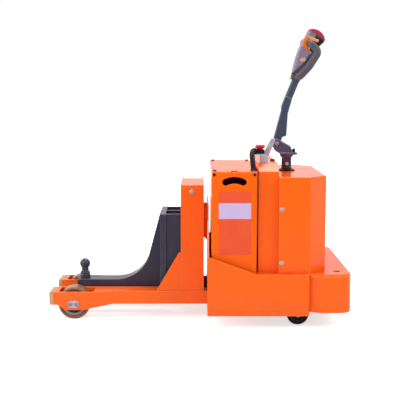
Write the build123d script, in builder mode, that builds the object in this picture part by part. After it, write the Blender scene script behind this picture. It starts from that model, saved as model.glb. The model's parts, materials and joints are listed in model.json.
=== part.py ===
from build123d import *
import os
from math import cos, radians, sin, tan

os.makedirs("parts", exist_ok=True)

# Clearances, millimetres
GAP = 0.3
PIN_GAP = 0.15

# Body: X runs toward the tiller end, Z up from the floor
HALF_LENGTH = 688.0
BODY_LENGTH = 643.0
PANEL_HALF = 355.0
PANEL_T = 10.0
PANEL_BEND_R = 20.0
PANEL_RETURN = 22.0
PANEL_BOTTOM = 63.0
PANEL_RISE = 80.0
DECK_T = 10.0
DECK_EDGE_R = 5.0
BUMPER_LENGTH = 187.0
BUMPER_BOTTOM = 77.0
BUMPER_T = 10.0
BUMPER_INSET = 1.0
BUMPER_FACET = 47.0
BUMPER_CORNER_R = 55.0
LASHING_D = 34.0
LASHING_SETBACK = 60.0
LASHING_INSET = 75.0

# Battery, tower and drive hood
BATTERY_INSET = 18.0
BATTERY_LENGTH = 201.0
BATTERY_MARGIN = 30.0
BATTERY_CORNER_R = 6.0
BATTERY_GAP = 8.0
CELL_GAP = 4.0
CELL_DROP = 90.0
SHEET_T = 4.0
LID_T = 5.0
LID_EDGE = 1.5
SLOT_CHORD = 78.0
SLOT_RISE = 9.0
SLOT_HEIGHT = 30.0
SLOT_DROP = 38.0
TOWER_LENGTH = 89.0
TOWER_MARGIN = 52.0
TOWER_TOP = 737.0
TOWER_RISE = 31.0
TOWER_BEVEL_RUN = 52.0
TOWER_BEVEL_DROP = 33.0
HOOD_LENGTH = 217.0
HOOD_MARGIN = 24.0
HOOD_DROP = 55.0
HOOD_CHAMFER = 78.0
HOOD_BEND_R = 7.0
WALL_T = 8.0
WALL_HALF_TOP = 150.0
WALL_TOP = 540.0
WALL_SHOULDER = 470.0
WALL_DROP = 8.0

# Roller legs
LEG_INNER = 73.0
LEG_OUTER = 165.0
LEG_TIP_OUTER = 188.0
LEG_TOP = 133.0
LEG_BOTTOM = 72.0
LEG_BULGE = 48.0
LEG_BULGE_LEAD = 40.0
LEG_BULGE_TAIL = 46.0
LEG_BEND_R = 16.0
LEG_PLATE = 10.0
LEG_TOE = 22.0
FLARE_START = 294.0
FLARE_END = 168.0
BUFFER_T = 18.0
BUFFER_EDGE = 3.0
ROLLER_R = 75.0
ROLLER_W = 75.0
ROLLER_TYRE_T = 17.0
ROLLER_BOSS_R = 24.0
ROLLER_CLEAR = 9.0
ROLLER_SLOT_CLEAR = 11.0
ROLLER_SLOT_TAIL = 36.0
ROLLER_SLOT_R = 6.0
LOAD_PIN_R = 12.5
KEEPER_LENGTH = 53.0
KEEPER_HEIGHT = 34.0
KEEPER_T = 5.0

# Mast, lift ram and hitch
POST_GAP = 15.0
POST_DEPTH = 107.0
POST_HALF = 160.0
POST_TOP = 628.0
POST_PLATE = 10.0
POST_CAP_T = 12.0
GUSSET_REACH = 114.0
GUSSET_TOP = 314.0
GUSSET_TIP = 9.0
LINK_HALF = 140.0
LINK_TOP = 510.0
LINK_BOTTOM = 370.0
LINK_SLOPE = 14.0
FOOT_T = 10.0
FOOT_RISE = 12.0
CARRIAGE_REACH = 97.0
CARRIAGE_PLATE = 26.0
CARRIAGE_HALF = 138.0
CARRIAGE_TOP = 490.0
CARRIAGE_BOTTOM = 141.0
CARRIAGE_SIDE_T = 12.0
CARRIAGE_SIDE_OUT = 130.0
CARRIAGE_SIDE_RISE = 20.0
CARRIAGE_BACK_GAP = 15.0
CARRIAGE_RIB_T = 16.0
CROSSBAR_T = 26.0
CROSSBAR_DROP = 14.0
PAD_LENGTH = 50.0
PAD_HEIGHT = 70.0
PAD_CORNER_R = 8.0
TONGUE_SETBACK = 113.0
TONGUE_HALF = 46.0
TONGUE_TOP = 162.0
TONGUE_BOTTOM = 124.0
TONGUE_PLATE = 12.0
WEB_DROP = 8.0
WEB_THROAT = 4.0
WEB_LEAN = 15.0
WEB_BEND_R = 165.0
BALL_INSET = 31.0
BALL_R = 25.0
BALL_RISE = 94.0
BALL_NECK_R = 17.0
BALL_COLLAR_R = 24.0
BALL_COLLAR_T = 18.0
BALL_GROOVE = 4.0
RAM_SETBACK = 42.0
RAM_R = 34.0
RAM_WALL = 10.0
ROD_R = 20.0
RAM_TOP = 352.0

# Steered drive wheel and casters
STEER_INSET = 63.0
COLUMN_R = 23.5
COLUMN_RISE = 130.0
FLANGE_R = 40.0
FLANGE_RISE = 10.0
DRIVE_R = 105.0
DRIVE_W = 75.0
DRIVE_TYRE_T = 24.0
DRIVE_BOSS_R = 30.0
DRIVE_CLEAR = 6.0
DRIVE_SIDE_CLEAR = 8.0
AXLE_R = 18.0
AXLE_DEPTH = 26.0
GEARBOX_R = 48.0
GEARBOX_T = 34.0
TURNTABLE_R = 46.0
TURNTABLE_CLEAR = 5.0
TURN_PLATE_R = 96.0
TURN_PLATE_T = 20.0
RING_T = 14.0
RING_W = 7.0
MOTOR_HEIGHT = 190.0
MOTOR_RIM = 2.0
MOTOR_BAND = 8.0
MOTOR_BAND_INSET = 18.0
CASTER_AHEAD = 1.0
CASTER_MARGIN = 110.0
CASTER_TRAIL = 32.0
CASTER_R = 50.0
CASTER_W = 40.0
CASTER_TYRE_T = 12.0
CASTER_BOSS_R = 15.0
CASTER_CROWN_T = 36.0
CASTER_CROWN_R = 38.0
CASTER_MOUNT_R = 46.0
CASTER_PIN_R = 12.0
CASTER_PIN_RISE = 40.0
CASTER_AXLE_R = 7.0
CASTER_FORK_T = 6.0
CASTER_EYE_R = 13.0
CASTER_CLEAR = 12.0
CASTER_SIDE_CLEAR = 6.0

# Tiller
PIVOT_BACK = 50.0
PIVOT_R = 6.0
PIVOT_HEAD_R = 9.0
PIVOT_HEAD_T = 4.0
YOKE_HALF = 36.0
YOKE_SLOT_HALF = 24.0
YOKE_EYE_R = 23.0
YOKE_EDGE = 3.0
YOKE_DROP = 65.0
YOKE_FLOOR_DROP = 36.0
BRIM_R = 33.0
BRIM_NOSE = 46.0
BRIM_NOSE_R = 5.0
BRIM_T = 10.0
ARM_HALF = 19.0
ARM_EYE_R = 18.0
ARM_EDGE = 4.0
HEAD_RUN = 85.0
HEAD_RISE = 293.0
HEAD_TILT = 22.0
TUBE_LENGTH = 84.0
TUBE_DEPTH = 34.0
TUBE_WIDTH = 40.0
TUBE_SHIFT = 2.0
TUBE_CORNER_R = 10.0
HEAD_LENGTH = 258.0
HEAD_DEPTH = 78.0
HEAD_WIDTH = 84.0
HEAD_CORNER_R = 14.0
CROWN_TOP = 240.0
CROWN_FRONT = 56.0
CROWN_BACK = 44.0
GRIP_R = 17.0
GRIP_REACH = 92.0
GRIP_TOP = 181.0
GRIP_OUT = 8.0
BELLY_T = 11.0
WING_R = 33.0
WING_T = 15.0
WING_BAR = 52.0
WING_BAR_T = 13.0
WING_OFFSET = 46.0

# Emergency stop, battery conduit and key switch
STOP_INSET = 10.0
STOP_MARGIN = 78.0
STOP_HALF = 18.0
STOP_PLATE = 5.0
STOP_RISE = 41.0
STRAP_T = 6.0
STRAP_R = 10.0
STRAP_FOOT = 16.0
STRAP_REACH = 59.0
STRAP_RISE = 101.0
STRAP_HOLE_R = 4.0
SWITCH_LENGTH = 38.0
SWITCH_WIDTH = 34.0
SWITCH_HEIGHT = 19.0
KNOB_R = 21.5
KNOB_STEM_R = 10.0
KNOB_HEIGHT = 20.0
CONDUIT_R = 10.5
CONDUIT_BEND_R = 15.0
CONDUIT_BACK = 18.0
CONDUIT_EDGE = 15.0
CONDUIT_SIDE = 48.0
KEY_R = 11.0
KEY_HEIGHT = 8.0
KEY_Y = -115.0
KEY_INSET = 14.0

# Places along the body that follow from the driving dimensions
PANEL_X0 = HALF_LENGTH - BODY_LENGTH
PANEL_X1 = HALF_LENGTH - BUMPER_LENGTH
PANEL_IN = PANEL_HALF - PANEL_T
RETURN_Y = PANEL_HALF - PANEL_RETURN
TURN_BOTTOM = 2 * DRIVE_R + DRIVE_CLEAR
TURN_TOP = TURN_BOTTOM + TURN_PLATE_T
DECK_BOTTOM = TURN_TOP + TURNTABLE_CLEAR
DECK_TOP = DECK_BOTTOM + DECK_T
PANEL_REAR_TOP = DECK_TOP + PANEL_RISE
BUMPER_HALF = PANEL_HALF - BUMPER_INSET
BUMPER_SIDE_X = PANEL_X1 + BUMPER_FACET
CORNER_X = HALF_LENGTH - BUMPER_CORNER_R
CORNER_Y = BUMPER_HALF - BUMPER_CORNER_R
LASHING_X = HALF_LENGTH - LASHING_SETBACK
LASHING_Y = BUMPER_HALF - LASHING_INSET
BATTERY_X0 = PANEL_X0 + BATTERY_INSET
BATTERY_X1 = BATTERY_X0 + BATTERY_LENGTH
BATTERY_MID = BATTERY_X0 + BATTERY_LENGTH / 2
BATTERY_HALF = PANEL_HALF - BATTERY_MARGIN
BATTERY_BOTTOM = PANEL_BOTTOM + DECK_T
BATTERY_TOP = TOWER_TOP - TOWER_RISE
LID_BOTTOM = BATTERY_TOP - LID_T
TOWER_X0 = BATTERY_X1 + BATTERY_GAP
TOWER_X1 = TOWER_X0 + TOWER_LENGTH
TOWER_HALF = PANEL_HALF - TOWER_MARGIN
HOOD_X1 = TOWER_X1 + HOOD_LENGTH
HOOD_HALF = PANEL_HALF - HOOD_MARGIN
HOOD_TOP = TOWER_TOP - HOOD_DROP
WALL_X1 = PANEL_X0 + WALL_T

# Places on the legs and the hitch
LEG_X0 = -HALF_LENGTH + BUFFER_T
FLARE_X0 = -HALF_LENGTH + FLARE_START
FLARE_X1 = -HALF_LENGTH + FLARE_END
ROLLER_X = LEG_X0 + LEG_PLATE + ROLLER_R + ROLLER_CLEAR
ROLLER_CUT = (ROLLER_R**2 - (LEG_TOP - LEG_PLATE - ROLLER_R) ** 2) ** 0.5
ROLLER_SLOT_X0 = ROLLER_X - ROLLER_CUT - ROLLER_SLOT_CLEAR
ROLLER_SLOT_X1 = ROLLER_X + ROLLER_CUT + ROLLER_SLOT_TAIL
POCKET_OUT = LEG_TIP_OUTER - LEG_PLATE
POCKET_IN = LEG_INNER + LEG_PLATE
ROLLER_Y = (POCKET_OUT + POCKET_IN) / 2
POST_X1 = PANEL_X0 - POST_GAP
POST_X0 = POST_X1 - POST_DEPTH
POST_MID = (POST_X0 + POST_X1) / 2
POST_IN = POST_HALF - POST_PLATE
POST_BACK = POST_X1 - POST_PLATE
CAP_BOTTOM = POST_TOP - POST_CAP_T
CARRIAGE_X0 = POST_X0 - CARRIAGE_REACH
CARRIAGE_FACE = CARRIAGE_X0 + CARRIAGE_PLATE
CARRIAGE_BACK = POST_BACK - CARRIAGE_BACK_GAP
CROSSBAR_BOTTOM = CARRIAGE_TOP - CROSSBAR_DROP - CROSSBAR_T
RAM_X = POST_BACK - RAM_SETBACK
RAM_FRONT = RAM_X - RAM_R - RAM_WALL
RAM_BASE = LEG_BOTTOM + FOOT_RISE + FOOT_T
TONGUE_X0 = -HALF_LENGTH + TONGUE_SETBACK
WEB_TOP = CARRIAGE_TOP - WEB_DROP
WEB_TOP_X = CARRIAGE_X0 - WEB_THROAT
WEB_SLOPE = tan(radians(WEB_LEAN))
WEB_RUN = WEB_TOP_X - (WEB_TOP - TONGUE_TOP) * WEB_SLOPE - TONGUE_X0
WEB_BEND = min(WEB_BEND_R, (WEB_RUN - 2 * TONGUE_PLATE) / tan(radians(45 - WEB_LEAN / 2)))
BALL_X = TONGUE_X0 + BALL_INSET
BALL_Z = TONGUE_TOP + BALL_RISE - BALL_R

# Places round the steered wheel, the casters and the tiller
STEER_X = TOWER_X1 + STEER_INSET
TURNTABLE_HOLE = TURNTABLE_R + TURNTABLE_CLEAR
RING_TOP = DECK_TOP + RING_T
MOTOR_TOP = RING_TOP + MOTOR_HEIGHT
GEARBOX_Y = DRIVE_W / 2 + DRIVE_SIDE_CLEAR
CASTER_X = STEER_X + CASTER_AHEAD
CASTER_Y = PANEL_HALF - CASTER_MARGIN
CASTER_AXLE_X = CASTER_X + CASTER_TRAIL
CROWN_BOTTOM = 2 * CASTER_R + CASTER_CLEAR
CASTER_TOP = CROWN_BOTTOM + CASTER_CROWN_T
FORK_IN = CASTER_W / 2 + CASTER_SIDE_CLEAR
FORK_OUT = FORK_IN + CASTER_FORK_T
PIVOT_X = STEER_X - PIVOT_BACK
PIVOT_Z = HOOD_TOP + COLUMN_RISE
YOKE_BOTTOM = PIVOT_Z - YOKE_DROP
YOKE_FLOOR = PIVOT_Z - YOKE_FLOOR_DROP
HEAD_X = PIVOT_X + HEAD_RUN
HEAD_Z = PIVOT_Z + HEAD_RISE
HEAD_S = sin(radians(HEAD_TILT))
HEAD_C = cos(radians(HEAD_TILT))
STOP_X = TOWER_X0 + STOP_INSET
STOP_Y = STOP_MARGIN - TOWER_HALF

# Work planes of the tiller head and the steering axis
HEAD_PLANE = Plane(origin=(HEAD_X, 0, HEAD_Z), x_dir=(-HEAD_C, 0, HEAD_S), z_dir=(HEAD_S, 0, HEAD_C))
HEAD_SIDE = Plane(origin=(HEAD_X, 0, HEAD_Z), x_dir=(-HEAD_C, 0, HEAD_S), z_dir=(0, 1, 0))
STEER_PLANE = Plane(origin=(STEER_X, 0, 0), x_dir=(1, 0, 0), z_dir=(0, -1, 0))
STEER_AXIS = Axis((STEER_X, 0, 0), (0, 0, 1))


def head_point(along, out, side):
    """Point on the tiller head: along the tiller, out from its underside, and across."""
    return HEAD_PLANE.from_local_coords(Vector(out, -side, along))


# Side panels, one flat plate each with its end bent inward
with BuildPart() as side_panels:
    with BuildSketch(Plane.XY.offset(PANEL_BOTTOM)):
        with BuildLine():
            l1 = Line((PANEL_X0, -PANEL_HALF), (PANEL_X1 - PANEL_BEND_R, -PANEL_HALF))
            l2 = TangentArc(l1 @ 1, (PANEL_X1, -PANEL_HALF + PANEL_BEND_R), tangent=(1, 0))
            l3 = Polyline(
                l2 @ 1,
                (PANEL_X1, -RETURN_Y),
                (PANEL_X1 - PANEL_T, -RETURN_Y),
                (PANEL_X1 - PANEL_T, -PANEL_HALF + PANEL_BEND_R),
            )
            l4 = TangentArc(l3 @ 1, (PANEL_X1 - PANEL_BEND_R, -PANEL_IN), tangent=(0, -1))
            Polyline(l4 @ 1, (PANEL_X0, -PANEL_IN), l1 @ 0)
        make_face()
    extrude(amount=PANEL_REAR_TOP - PANEL_BOTTOM)
    with BuildSketch(Plane.XZ):
        Polygon(
            (PANEL_X0, PANEL_BOTTOM),
            (PANEL_X1, PANEL_BOTTOM),
            (PANEL_X1, DECK_TOP),
            (BATTERY_X1, DECK_TOP),
            (PANEL_X0, PANEL_REAR_TOP),
            align=None,
        )
    extrude(amount=2 * PANEL_HALF, both=True, mode=Mode.INTERSECT)
    mirror(about=Plane.XZ)
side_panels.part.label = "side_panels"
export_step(side_panels.part, "parts/side_panels.step")

# Deck plate, running out over the bumper, with the turntable hole and two lashing holes
with BuildPart() as deck_plate:
    with BuildSketch(Plane.XY.offset(DECK_BOTTOM)):
        with BuildLine():
            d1 = Polyline((BATTERY_X1, 0), (BATTERY_X1, -PANEL_IN), (PANEL_X1 - PANEL_BEND_R, -PANEL_IN))
            d2 = TangentArc(d1 @ 1, (PANEL_X1 - PANEL_T, -PANEL_HALF + PANEL_BEND_R), tangent=(1, 0))
            d3 = Polyline(
                d2 @ 1,
                (PANEL_X1 - PANEL_T, -RETURN_Y),
                (PANEL_X1, -RETURN_Y),
                (BUMPER_SIDE_X, -BUMPER_HALF),
                (CORNER_X, -BUMPER_HALF),
            )
            d4 = TangentArc(d3 @ 1, (HALF_LENGTH, -CORNER_Y), tangent=(1, 0))
            Line(d4 @ 1, (HALF_LENGTH, 0))
            mirror(about=Plane.XZ)
        make_face()
    extrude(amount=DECK_T)
    deck_rim = deck_plate.faces().sort_by(Axis.Z)[-1].edges()
    chamfer(deck_rim.filter_by_position(Axis.X, PANEL_X1 + 1, HALF_LENGTH + 1), DECK_EDGE_R)
    with BuildSketch(Plane.XY.offset(DECK_BOTTOM)):
        with Locations((STEER_X, 0)):
            Circle(TURNTABLE_HOLE)
        with Locations((LASHING_X, -LASHING_Y), (LASHING_X, LASHING_Y)):
            Circle(LASHING_D / 2)
    extrude(amount=DECK_T, mode=Mode.SUBTRACT)
deck_plate.part.label = "deck_plate"
export_step(deck_plate.part, "parts/deck_plate.step")

# Bumper skirt under the deck, one bent plate with a facet behind each side and round corners
with BuildPart() as bumper_skirt:
    with BuildSketch(Plane.XY.offset(BUMPER_BOTTOM)):
        with BuildLine():
            b1 = Polyline((PANEL_X1, -RETURN_Y), (BUMPER_SIDE_X, -BUMPER_HALF), (CORNER_X, -BUMPER_HALF))
            b2 = TangentArc(b1 @ 1, (HALF_LENGTH, -CORNER_Y), tangent=(1, 0))
            Line(b2 @ 1, (HALF_LENGTH, 0))
            mirror(about=Plane.XZ)
            offset(amount=BUMPER_T, side=Side.LEFT)
        make_face()
    extrude(amount=DECK_BOTTOM - BUMPER_BOTTOM)
bumper_skirt.part.label = "bumper_skirt"
export_step(bumper_skirt.part, "parts/bumper_skirt.step")

# Rear wall of the battery bay that carries the mast
with BuildPart() as rear_wall:
    with BuildSketch(Plane.YZ.offset(PANEL_X0)):
        Polygon(
            (-PANEL_IN, PANEL_BOTTOM),
            (PANEL_IN, PANEL_BOTTOM),
            (PANEL_IN, PANEL_REAR_TOP - WALL_DROP),
            (WALL_HALF_TOP, WALL_SHOULDER),
            (WALL_HALF_TOP, WALL_TOP),
            (-WALL_HALF_TOP, WALL_TOP),
            (-WALL_HALF_TOP, WALL_SHOULDER),
            (-PANEL_IN, PANEL_REAR_TOP - WALL_DROP),
            align=None,
        )
    extrude(amount=WALL_T)
rear_wall.part.label = "rear_wall"
export_step(rear_wall.part, "parts/rear_wall.step")

# Battery bay floor with the cross plate under the deck's edge
with BuildPart() as bay_floor:
    with BuildSketch(Plane.XZ):
        Polygon(
            (WALL_X1, PANEL_BOTTOM),
            (BATTERY_X1 + DECK_T, PANEL_BOTTOM),
            (BATTERY_X1 + DECK_T, DECK_BOTTOM),
            (BATTERY_X1 + GAP, DECK_BOTTOM),
            (BATTERY_X1 + GAP, BATTERY_BOTTOM),
            (WALL_X1, BATTERY_BOTTOM),
            align=None,
        )
    extrude(amount=PANEL_IN, both=True)
bay_floor.part.label = "bay_floor"
export_step(bay_floor.part, "parts/bay_floor.step")

# Battery box with a curved hand slot in each side
with BuildPart() as battery_box:
    with BuildSketch(Plane.XY.offset(BATTERY_BOTTOM)):
        with Locations((BATTERY_MID, 0)):
            RectangleRounded(BATTERY_LENGTH, 2 * BATTERY_HALF, BATTERY_CORNER_R)
    extrude(amount=LID_BOTTOM - BATTERY_BOTTOM)
    with BuildSketch(Plane.XY.offset(BATTERY_BOTTOM + SHEET_T)):
        with Locations((BATTERY_MID, 0)):
            RectangleRounded(
                BATTERY_LENGTH - 2 * SHEET_T, 2 * (BATTERY_HALF - SHEET_T), BATTERY_CORNER_R - SHEET_T
            )
    extrude(amount=LID_BOTTOM, mode=Mode.SUBTRACT)
    with BuildSketch(Plane.XZ):
        with BuildLine(mode=Mode.PRIVATE):
            slot_arc = ThreePointArc(
                (BATTERY_MID - SLOT_CHORD / 2, BATTERY_TOP - SLOT_DROP - SLOT_RISE),
                (BATTERY_MID, BATTERY_TOP - SLOT_DROP),
                (BATTERY_MID + SLOT_CHORD / 2, BATTERY_TOP - SLOT_DROP - SLOT_RISE),
            )
        SlotArc(slot_arc, SLOT_HEIGHT)
    extrude(amount=PANEL_HALF, both=True, mode=Mode.SUBTRACT)
battery_box.part.label = "battery_box"
export_step(battery_box.part, "parts/battery_box.step")

# Battery lid
with BuildPart() as battery_lid:
    with BuildSketch(Plane.XY.offset(LID_BOTTOM)):
        with Locations((BATTERY_MID, 0)):
            RectangleRounded(BATTERY_LENGTH, 2 * BATTERY_HALF, BATTERY_CORNER_R)
    extrude(amount=LID_T)
    chamfer(battery_lid.faces().sort_by(Axis.Z)[-1].edges(), LID_EDGE)
battery_lid.part.label = "battery_lid"
export_step(battery_lid.part, "parts/battery_lid.step")

# Battery, one plain block inside its box
with BuildPart() as battery_block:
    with BuildSketch(Plane.XY.offset(BATTERY_BOTTOM + SHEET_T)):
        with Locations((BATTERY_MID, 0)):
            Rectangle(BATTERY_LENGTH - 2 * (SHEET_T + CELL_GAP), 2 * (BATTERY_HALF - SHEET_T - CELL_GAP))
    extrude(amount=BATTERY_TOP - SLOT_DROP - CELL_DROP - BATTERY_BOTTOM - SHEET_T)
battery_block.part.label = "battery_block"
export_step(battery_block.part, "parts/battery_block.step")

# Tower between battery and hood, bevelled at both top ends
with BuildPart() as tower:
    with BuildSketch(Plane.YZ.offset(TOWER_X0)):
        Polygon(
            (-TOWER_HALF, DECK_TOP),
            (TOWER_HALF, DECK_TOP),
            (TOWER_HALF, TOWER_TOP - TOWER_BEVEL_DROP),
            (TOWER_HALF - TOWER_BEVEL_RUN, TOWER_TOP),
            (-TOWER_HALF + TOWER_BEVEL_RUN, TOWER_TOP),
            (-TOWER_HALF, TOWER_TOP - TOWER_BEVEL_DROP),
            align=None,
        )
    extrude(amount=TOWER_LENGTH)
    offset(amount=-SHEET_T, openings=tower.faces().sort_by(Axis.Z)[0])
tower.part.label = "tower"
export_step(tower.part, "parts/tower.step")

# Drive hood with two upright chamfers and a hole for the steering column
with BuildPart() as drive_hood:
    with BuildSketch(Plane.XY.offset(DECK_TOP)):
        Polygon(
            (TOWER_X1, -HOOD_HALF),
            (HOOD_X1 - HOOD_CHAMFER, -HOOD_HALF),
            (HOOD_X1, -HOOD_HALF + HOOD_CHAMFER),
            (HOOD_X1, HOOD_HALF - HOOD_CHAMFER),
            (HOOD_X1 - HOOD_CHAMFER, HOOD_HALF),
            (TOWER_X1, HOOD_HALF),
            align=None,
        )
    extrude(amount=HOOD_TOP - DECK_TOP)
    fillet(drive_hood.faces().sort_by(Axis.Z)[-1].edges(), HOOD_BEND_R)
    offset(amount=-SHEET_T, openings=drive_hood.faces().sort_by(Axis.Z)[0])
    with BuildSketch(Plane.XY.offset(HOOD_TOP)):
        with Locations((STEER_X, 0)):
            Circle((COLUMN_R + FLANGE_R) / 2)
    extrude(amount=2 * HOOD_BEND_R, both=True, mode=Mode.SUBTRACT)
drive_hood.part.label = "drive_hood"
export_step(drive_hood.part, "parts/drive_hood.step")

# Column flange on the hood, the column's upper bearing
with BuildPart() as column_flange:
    with BuildSketch(STEER_PLANE):
        Polygon(
            (COLUMN_R + GAP, HOOD_TOP),
            (FLANGE_R, HOOD_TOP),
            (FLANGE_R, HOOD_TOP + SHEET_T),
            (COLUMN_R + 2 * SHEET_T, HOOD_TOP + 2 * SHEET_T),
            (COLUMN_R + SHEET_T, HOOD_TOP + FLANGE_RISE),
            (COLUMN_R + GAP, HOOD_TOP + FLANGE_RISE),
            align=None,
        )
    revolve(axis=STEER_AXIS)
column_flange.part.label = "column_flange"
export_step(column_flange.part, "parts/column_flange.step")

# Turntable ring on the deck, round the drive unit
with BuildPart() as turntable_ring:
    with BuildSketch(Plane.XY.offset(DECK_TOP)):
        with Locations((STEER_X, 0)):
            Circle(TURNTABLE_HOLE + RING_W)
            Circle(TURNTABLE_R + GAP, mode=Mode.SUBTRACT)
    extrude(amount=RING_T)
turntable_ring.part.label = "turntable_ring"
export_step(turntable_ring.part, "parts/turntable_ring.step")

# Caster mounts, two boxes hanging from the deck with a bore for the swivel pin
with BuildPart() as caster_mounts:
    with BuildSketch(Plane.XY.offset(CASTER_TOP)):
        with Locations((CASTER_X, -CASTER_Y), (CASTER_X, CASTER_Y)):
            RectangleRounded(2 * CASTER_MOUNT_R, 2 * CASTER_MOUNT_R, 8)
            Circle(CASTER_PIN_R + GAP, mode=Mode.SUBTRACT)
    extrude(amount=DECK_BOTTOM - CASTER_TOP)
caster_mounts.part.label = "caster_mounts"
export_step(caster_mounts.part, "parts/caster_mounts.step")

# Caster fork: crown, swivel pin, two legs and the wheel's axle
with BuildPart() as caster_fork_right:
    with BuildSketch(Plane.XY.offset(CROWN_BOTTOM)):
        with Locations((CASTER_X, -CASTER_Y)):
            Circle(CASTER_CROWN_R)
    extrude(amount=CASTER_CROWN_T - GAP)
    with BuildSketch(Plane.XY.offset(CROWN_BOTTOM)):
        with Locations((CASTER_X, -CASTER_Y)):
            Circle(CASTER_PIN_R)
    extrude(amount=CASTER_CROWN_T + CASTER_PIN_RISE)
    with BuildSketch(Plane.XZ.offset(CASTER_Y)):
        with BuildLine():
            f1 = CenterArc((CASTER_AXLE_X, CASTER_R), CASTER_EYE_R, 180, 180)
            Polyline(
                f1 @ 1,
                (CASTER_AXLE_X, CROWN_BOTTOM + CASTER_CLEAR),
                (CASTER_X - CASTER_CROWN_R / 2, CROWN_BOTTOM + CASTER_CLEAR),
                f1 @ 0,
            )
        make_face()
    extrude(amount=FORK_OUT, both=True)
    with BuildSketch(Plane.XZ.offset(CASTER_Y)):
        with Locations((CASTER_X, 0)):
            Rectangle(4 * CASTER_R, 2 * CROWN_BOTTOM)
    extrude(amount=FORK_IN, both=True, mode=Mode.SUBTRACT)
    with BuildSketch(Plane.XZ.offset(CASTER_Y)):
        with Locations((CASTER_AXLE_X, CASTER_R)):
            Circle(CASTER_AXLE_R)
    extrude(amount=FORK_OUT + CASTER_FORK_T / 2, both=True)
caster_fork_right.part.label = "caster_fork_right"
export_step(caster_fork_right.part, "parts/caster_fork_right.step")

with BuildPart() as caster_fork_left:
    mirror(caster_fork_right.part, about=Plane.XZ)
caster_fork_left.part.label = "caster_fork_left"
export_step(caster_fork_left.part, "parts/caster_fork_left.step")


def tyre(x, y, z, outer, thickness, width):
    """Solid tyre round an axle along Y, with bevelled shoulders."""
    with BuildPart() as ring:
        with BuildSketch(Plane(origin=(x, y, z), x_dir=(0, 1, 0), z_dir=(1, 0, 0))):
            with Locations((0, outer - thickness / 2)):
                band = Rectangle(width, thickness)
            chamfer(band.vertices().group_by(Axis.Z)[-1], thickness / 3)
        revolve(axis=Axis((x, y, z), (0, 1, 0)))
    return ring.part


def hub(x, y, z, outer, bore, width, boss):
    """Wheel centre round an axle along Y: rim, thin web and boss."""
    web = 0.3 * width
    rim = 0.2 * outer
    with BuildPart() as centre:
        with BuildSketch(Plane(origin=(x, y, z), x_dir=(0, 1, 0), z_dir=(1, 0, 0))):
            with Locations((0, (outer + bore) / 2)):
                Rectangle(web, outer - bore)
            with Locations((0, outer - rim / 2)):
                Rectangle(width, rim)
            with Locations((0, (boss + bore) / 2)):
                Rectangle(1.08 * width, boss - bore)
        revolve(axis=Axis((x, y, z), (0, 1, 0)))
    return centre.part


# Caster wheels, rubber tyre on a plastic centre
for side, name in ((-1, "right"), (1, "left")):
    with BuildPart() as caster_tyre:
        add(tyre(CASTER_AXLE_X, side * CASTER_Y, CASTER_R, CASTER_R, CASTER_TYRE_T, CASTER_W))
    caster_tyre.part.label = "caster_tyre_" + name
    export_step(caster_tyre.part, "parts/caster_tyre_" + name + ".step")
    with BuildPart() as caster_hub:
        add(
            hub(
                CASTER_AXLE_X, side * CASTER_Y, CASTER_R,
                CASTER_R - CASTER_TYRE_T, CASTER_AXLE_R + GAP, 0.9 * CASTER_W, CASTER_BOSS_R,
            )
        )
    caster_hub.part.label = "caster_hub_" + name
    export_step(caster_hub.part, "parts/caster_hub_" + name + ".step")

# Drive unit: turntable plate and the gearbox leg beside the drive wheel
with BuildPart() as drive_unit:
    with BuildSketch(Plane.XY.offset(TURN_BOTTOM)):
        with Locations((STEER_X, 0)):
            Circle(TURN_PLATE_R)
    extrude(amount=TURN_PLATE_T)
    with BuildSketch(Plane.XY.offset(TURN_BOTTOM)):
        with Locations((STEER_X, 0)):
            Circle(TURNTABLE_R)
    extrude(amount=RING_TOP - TURN_BOTTOM)
    with BuildSketch(Plane.XZ.offset(-GEARBOX_Y)):
        with BuildLine():
            g1 = CenterArc((STEER_X, DRIVE_R), GEARBOX_R, 180, 180)
            Polyline(
                g1 @ 1,
                (STEER_X + TURNTABLE_R, TURN_BOTTOM),
                (STEER_X - TURNTABLE_R, TURN_BOTTOM),
                g1 @ 0,
            )
        make_face()
    extrude(amount=-GEARBOX_T)
    chamfer(drive_unit.faces().sort_by(Axis.Y)[-1].edges().sort_by(Axis.Z)[0], GEARBOX_T / 4)
    with BuildSketch(Plane.XZ.offset(-GEARBOX_Y)):
        with Locations((STEER_X, DRIVE_R)):
            Circle(AXLE_R + GAP)
    extrude(amount=-AXLE_DEPTH, mode=Mode.SUBTRACT)
drive_unit.part.label = "drive_unit"
export_step(drive_unit.part, "parts/drive_unit.step")

# Drive motor standing on the turntable inside the hood
with BuildPart() as drive_motor:
    with BuildSketch(Plane.XY.offset(RING_TOP)):
        with Locations((STEER_X, 0)):
            Circle(TURNTABLE_R + MOTOR_RIM)
    extrude(amount=MOTOR_HEIGHT)
    with BuildSketch(Plane.XY.offset(RING_TOP + MOTOR_BAND_INSET)):
        with Locations((STEER_X, 0)):
            Circle(TURNTABLE_R + MOTOR_BAND)
    extrude(amount=MOTOR_HEIGHT - 2 * MOTOR_BAND_INSET)
drive_motor.part.label = "drive_motor"
export_step(drive_motor.part, "parts/drive_motor.step")

# Steering column
with BuildPart() as steering_column:
    with BuildSketch(Plane.XY.offset(MOTOR_TOP)):
        with Locations((STEER_X, 0)):
            Circle(COLUMN_R)
    extrude(amount=YOKE_BOTTOM - MOTOR_TOP)
steering_column.part.label = "steering_column"
export_step(steering_column.part, "parts/steering_column.step")

# Drive wheel, its axle stub seated in the gearbox
with BuildPart() as drive_tyre:
    add(tyre(STEER_X, 0, DRIVE_R, DRIVE_R, DRIVE_TYRE_T, DRIVE_W))
drive_tyre.part.label = "drive_tyre"
export_step(drive_tyre.part, "parts/drive_tyre.step")

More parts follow.
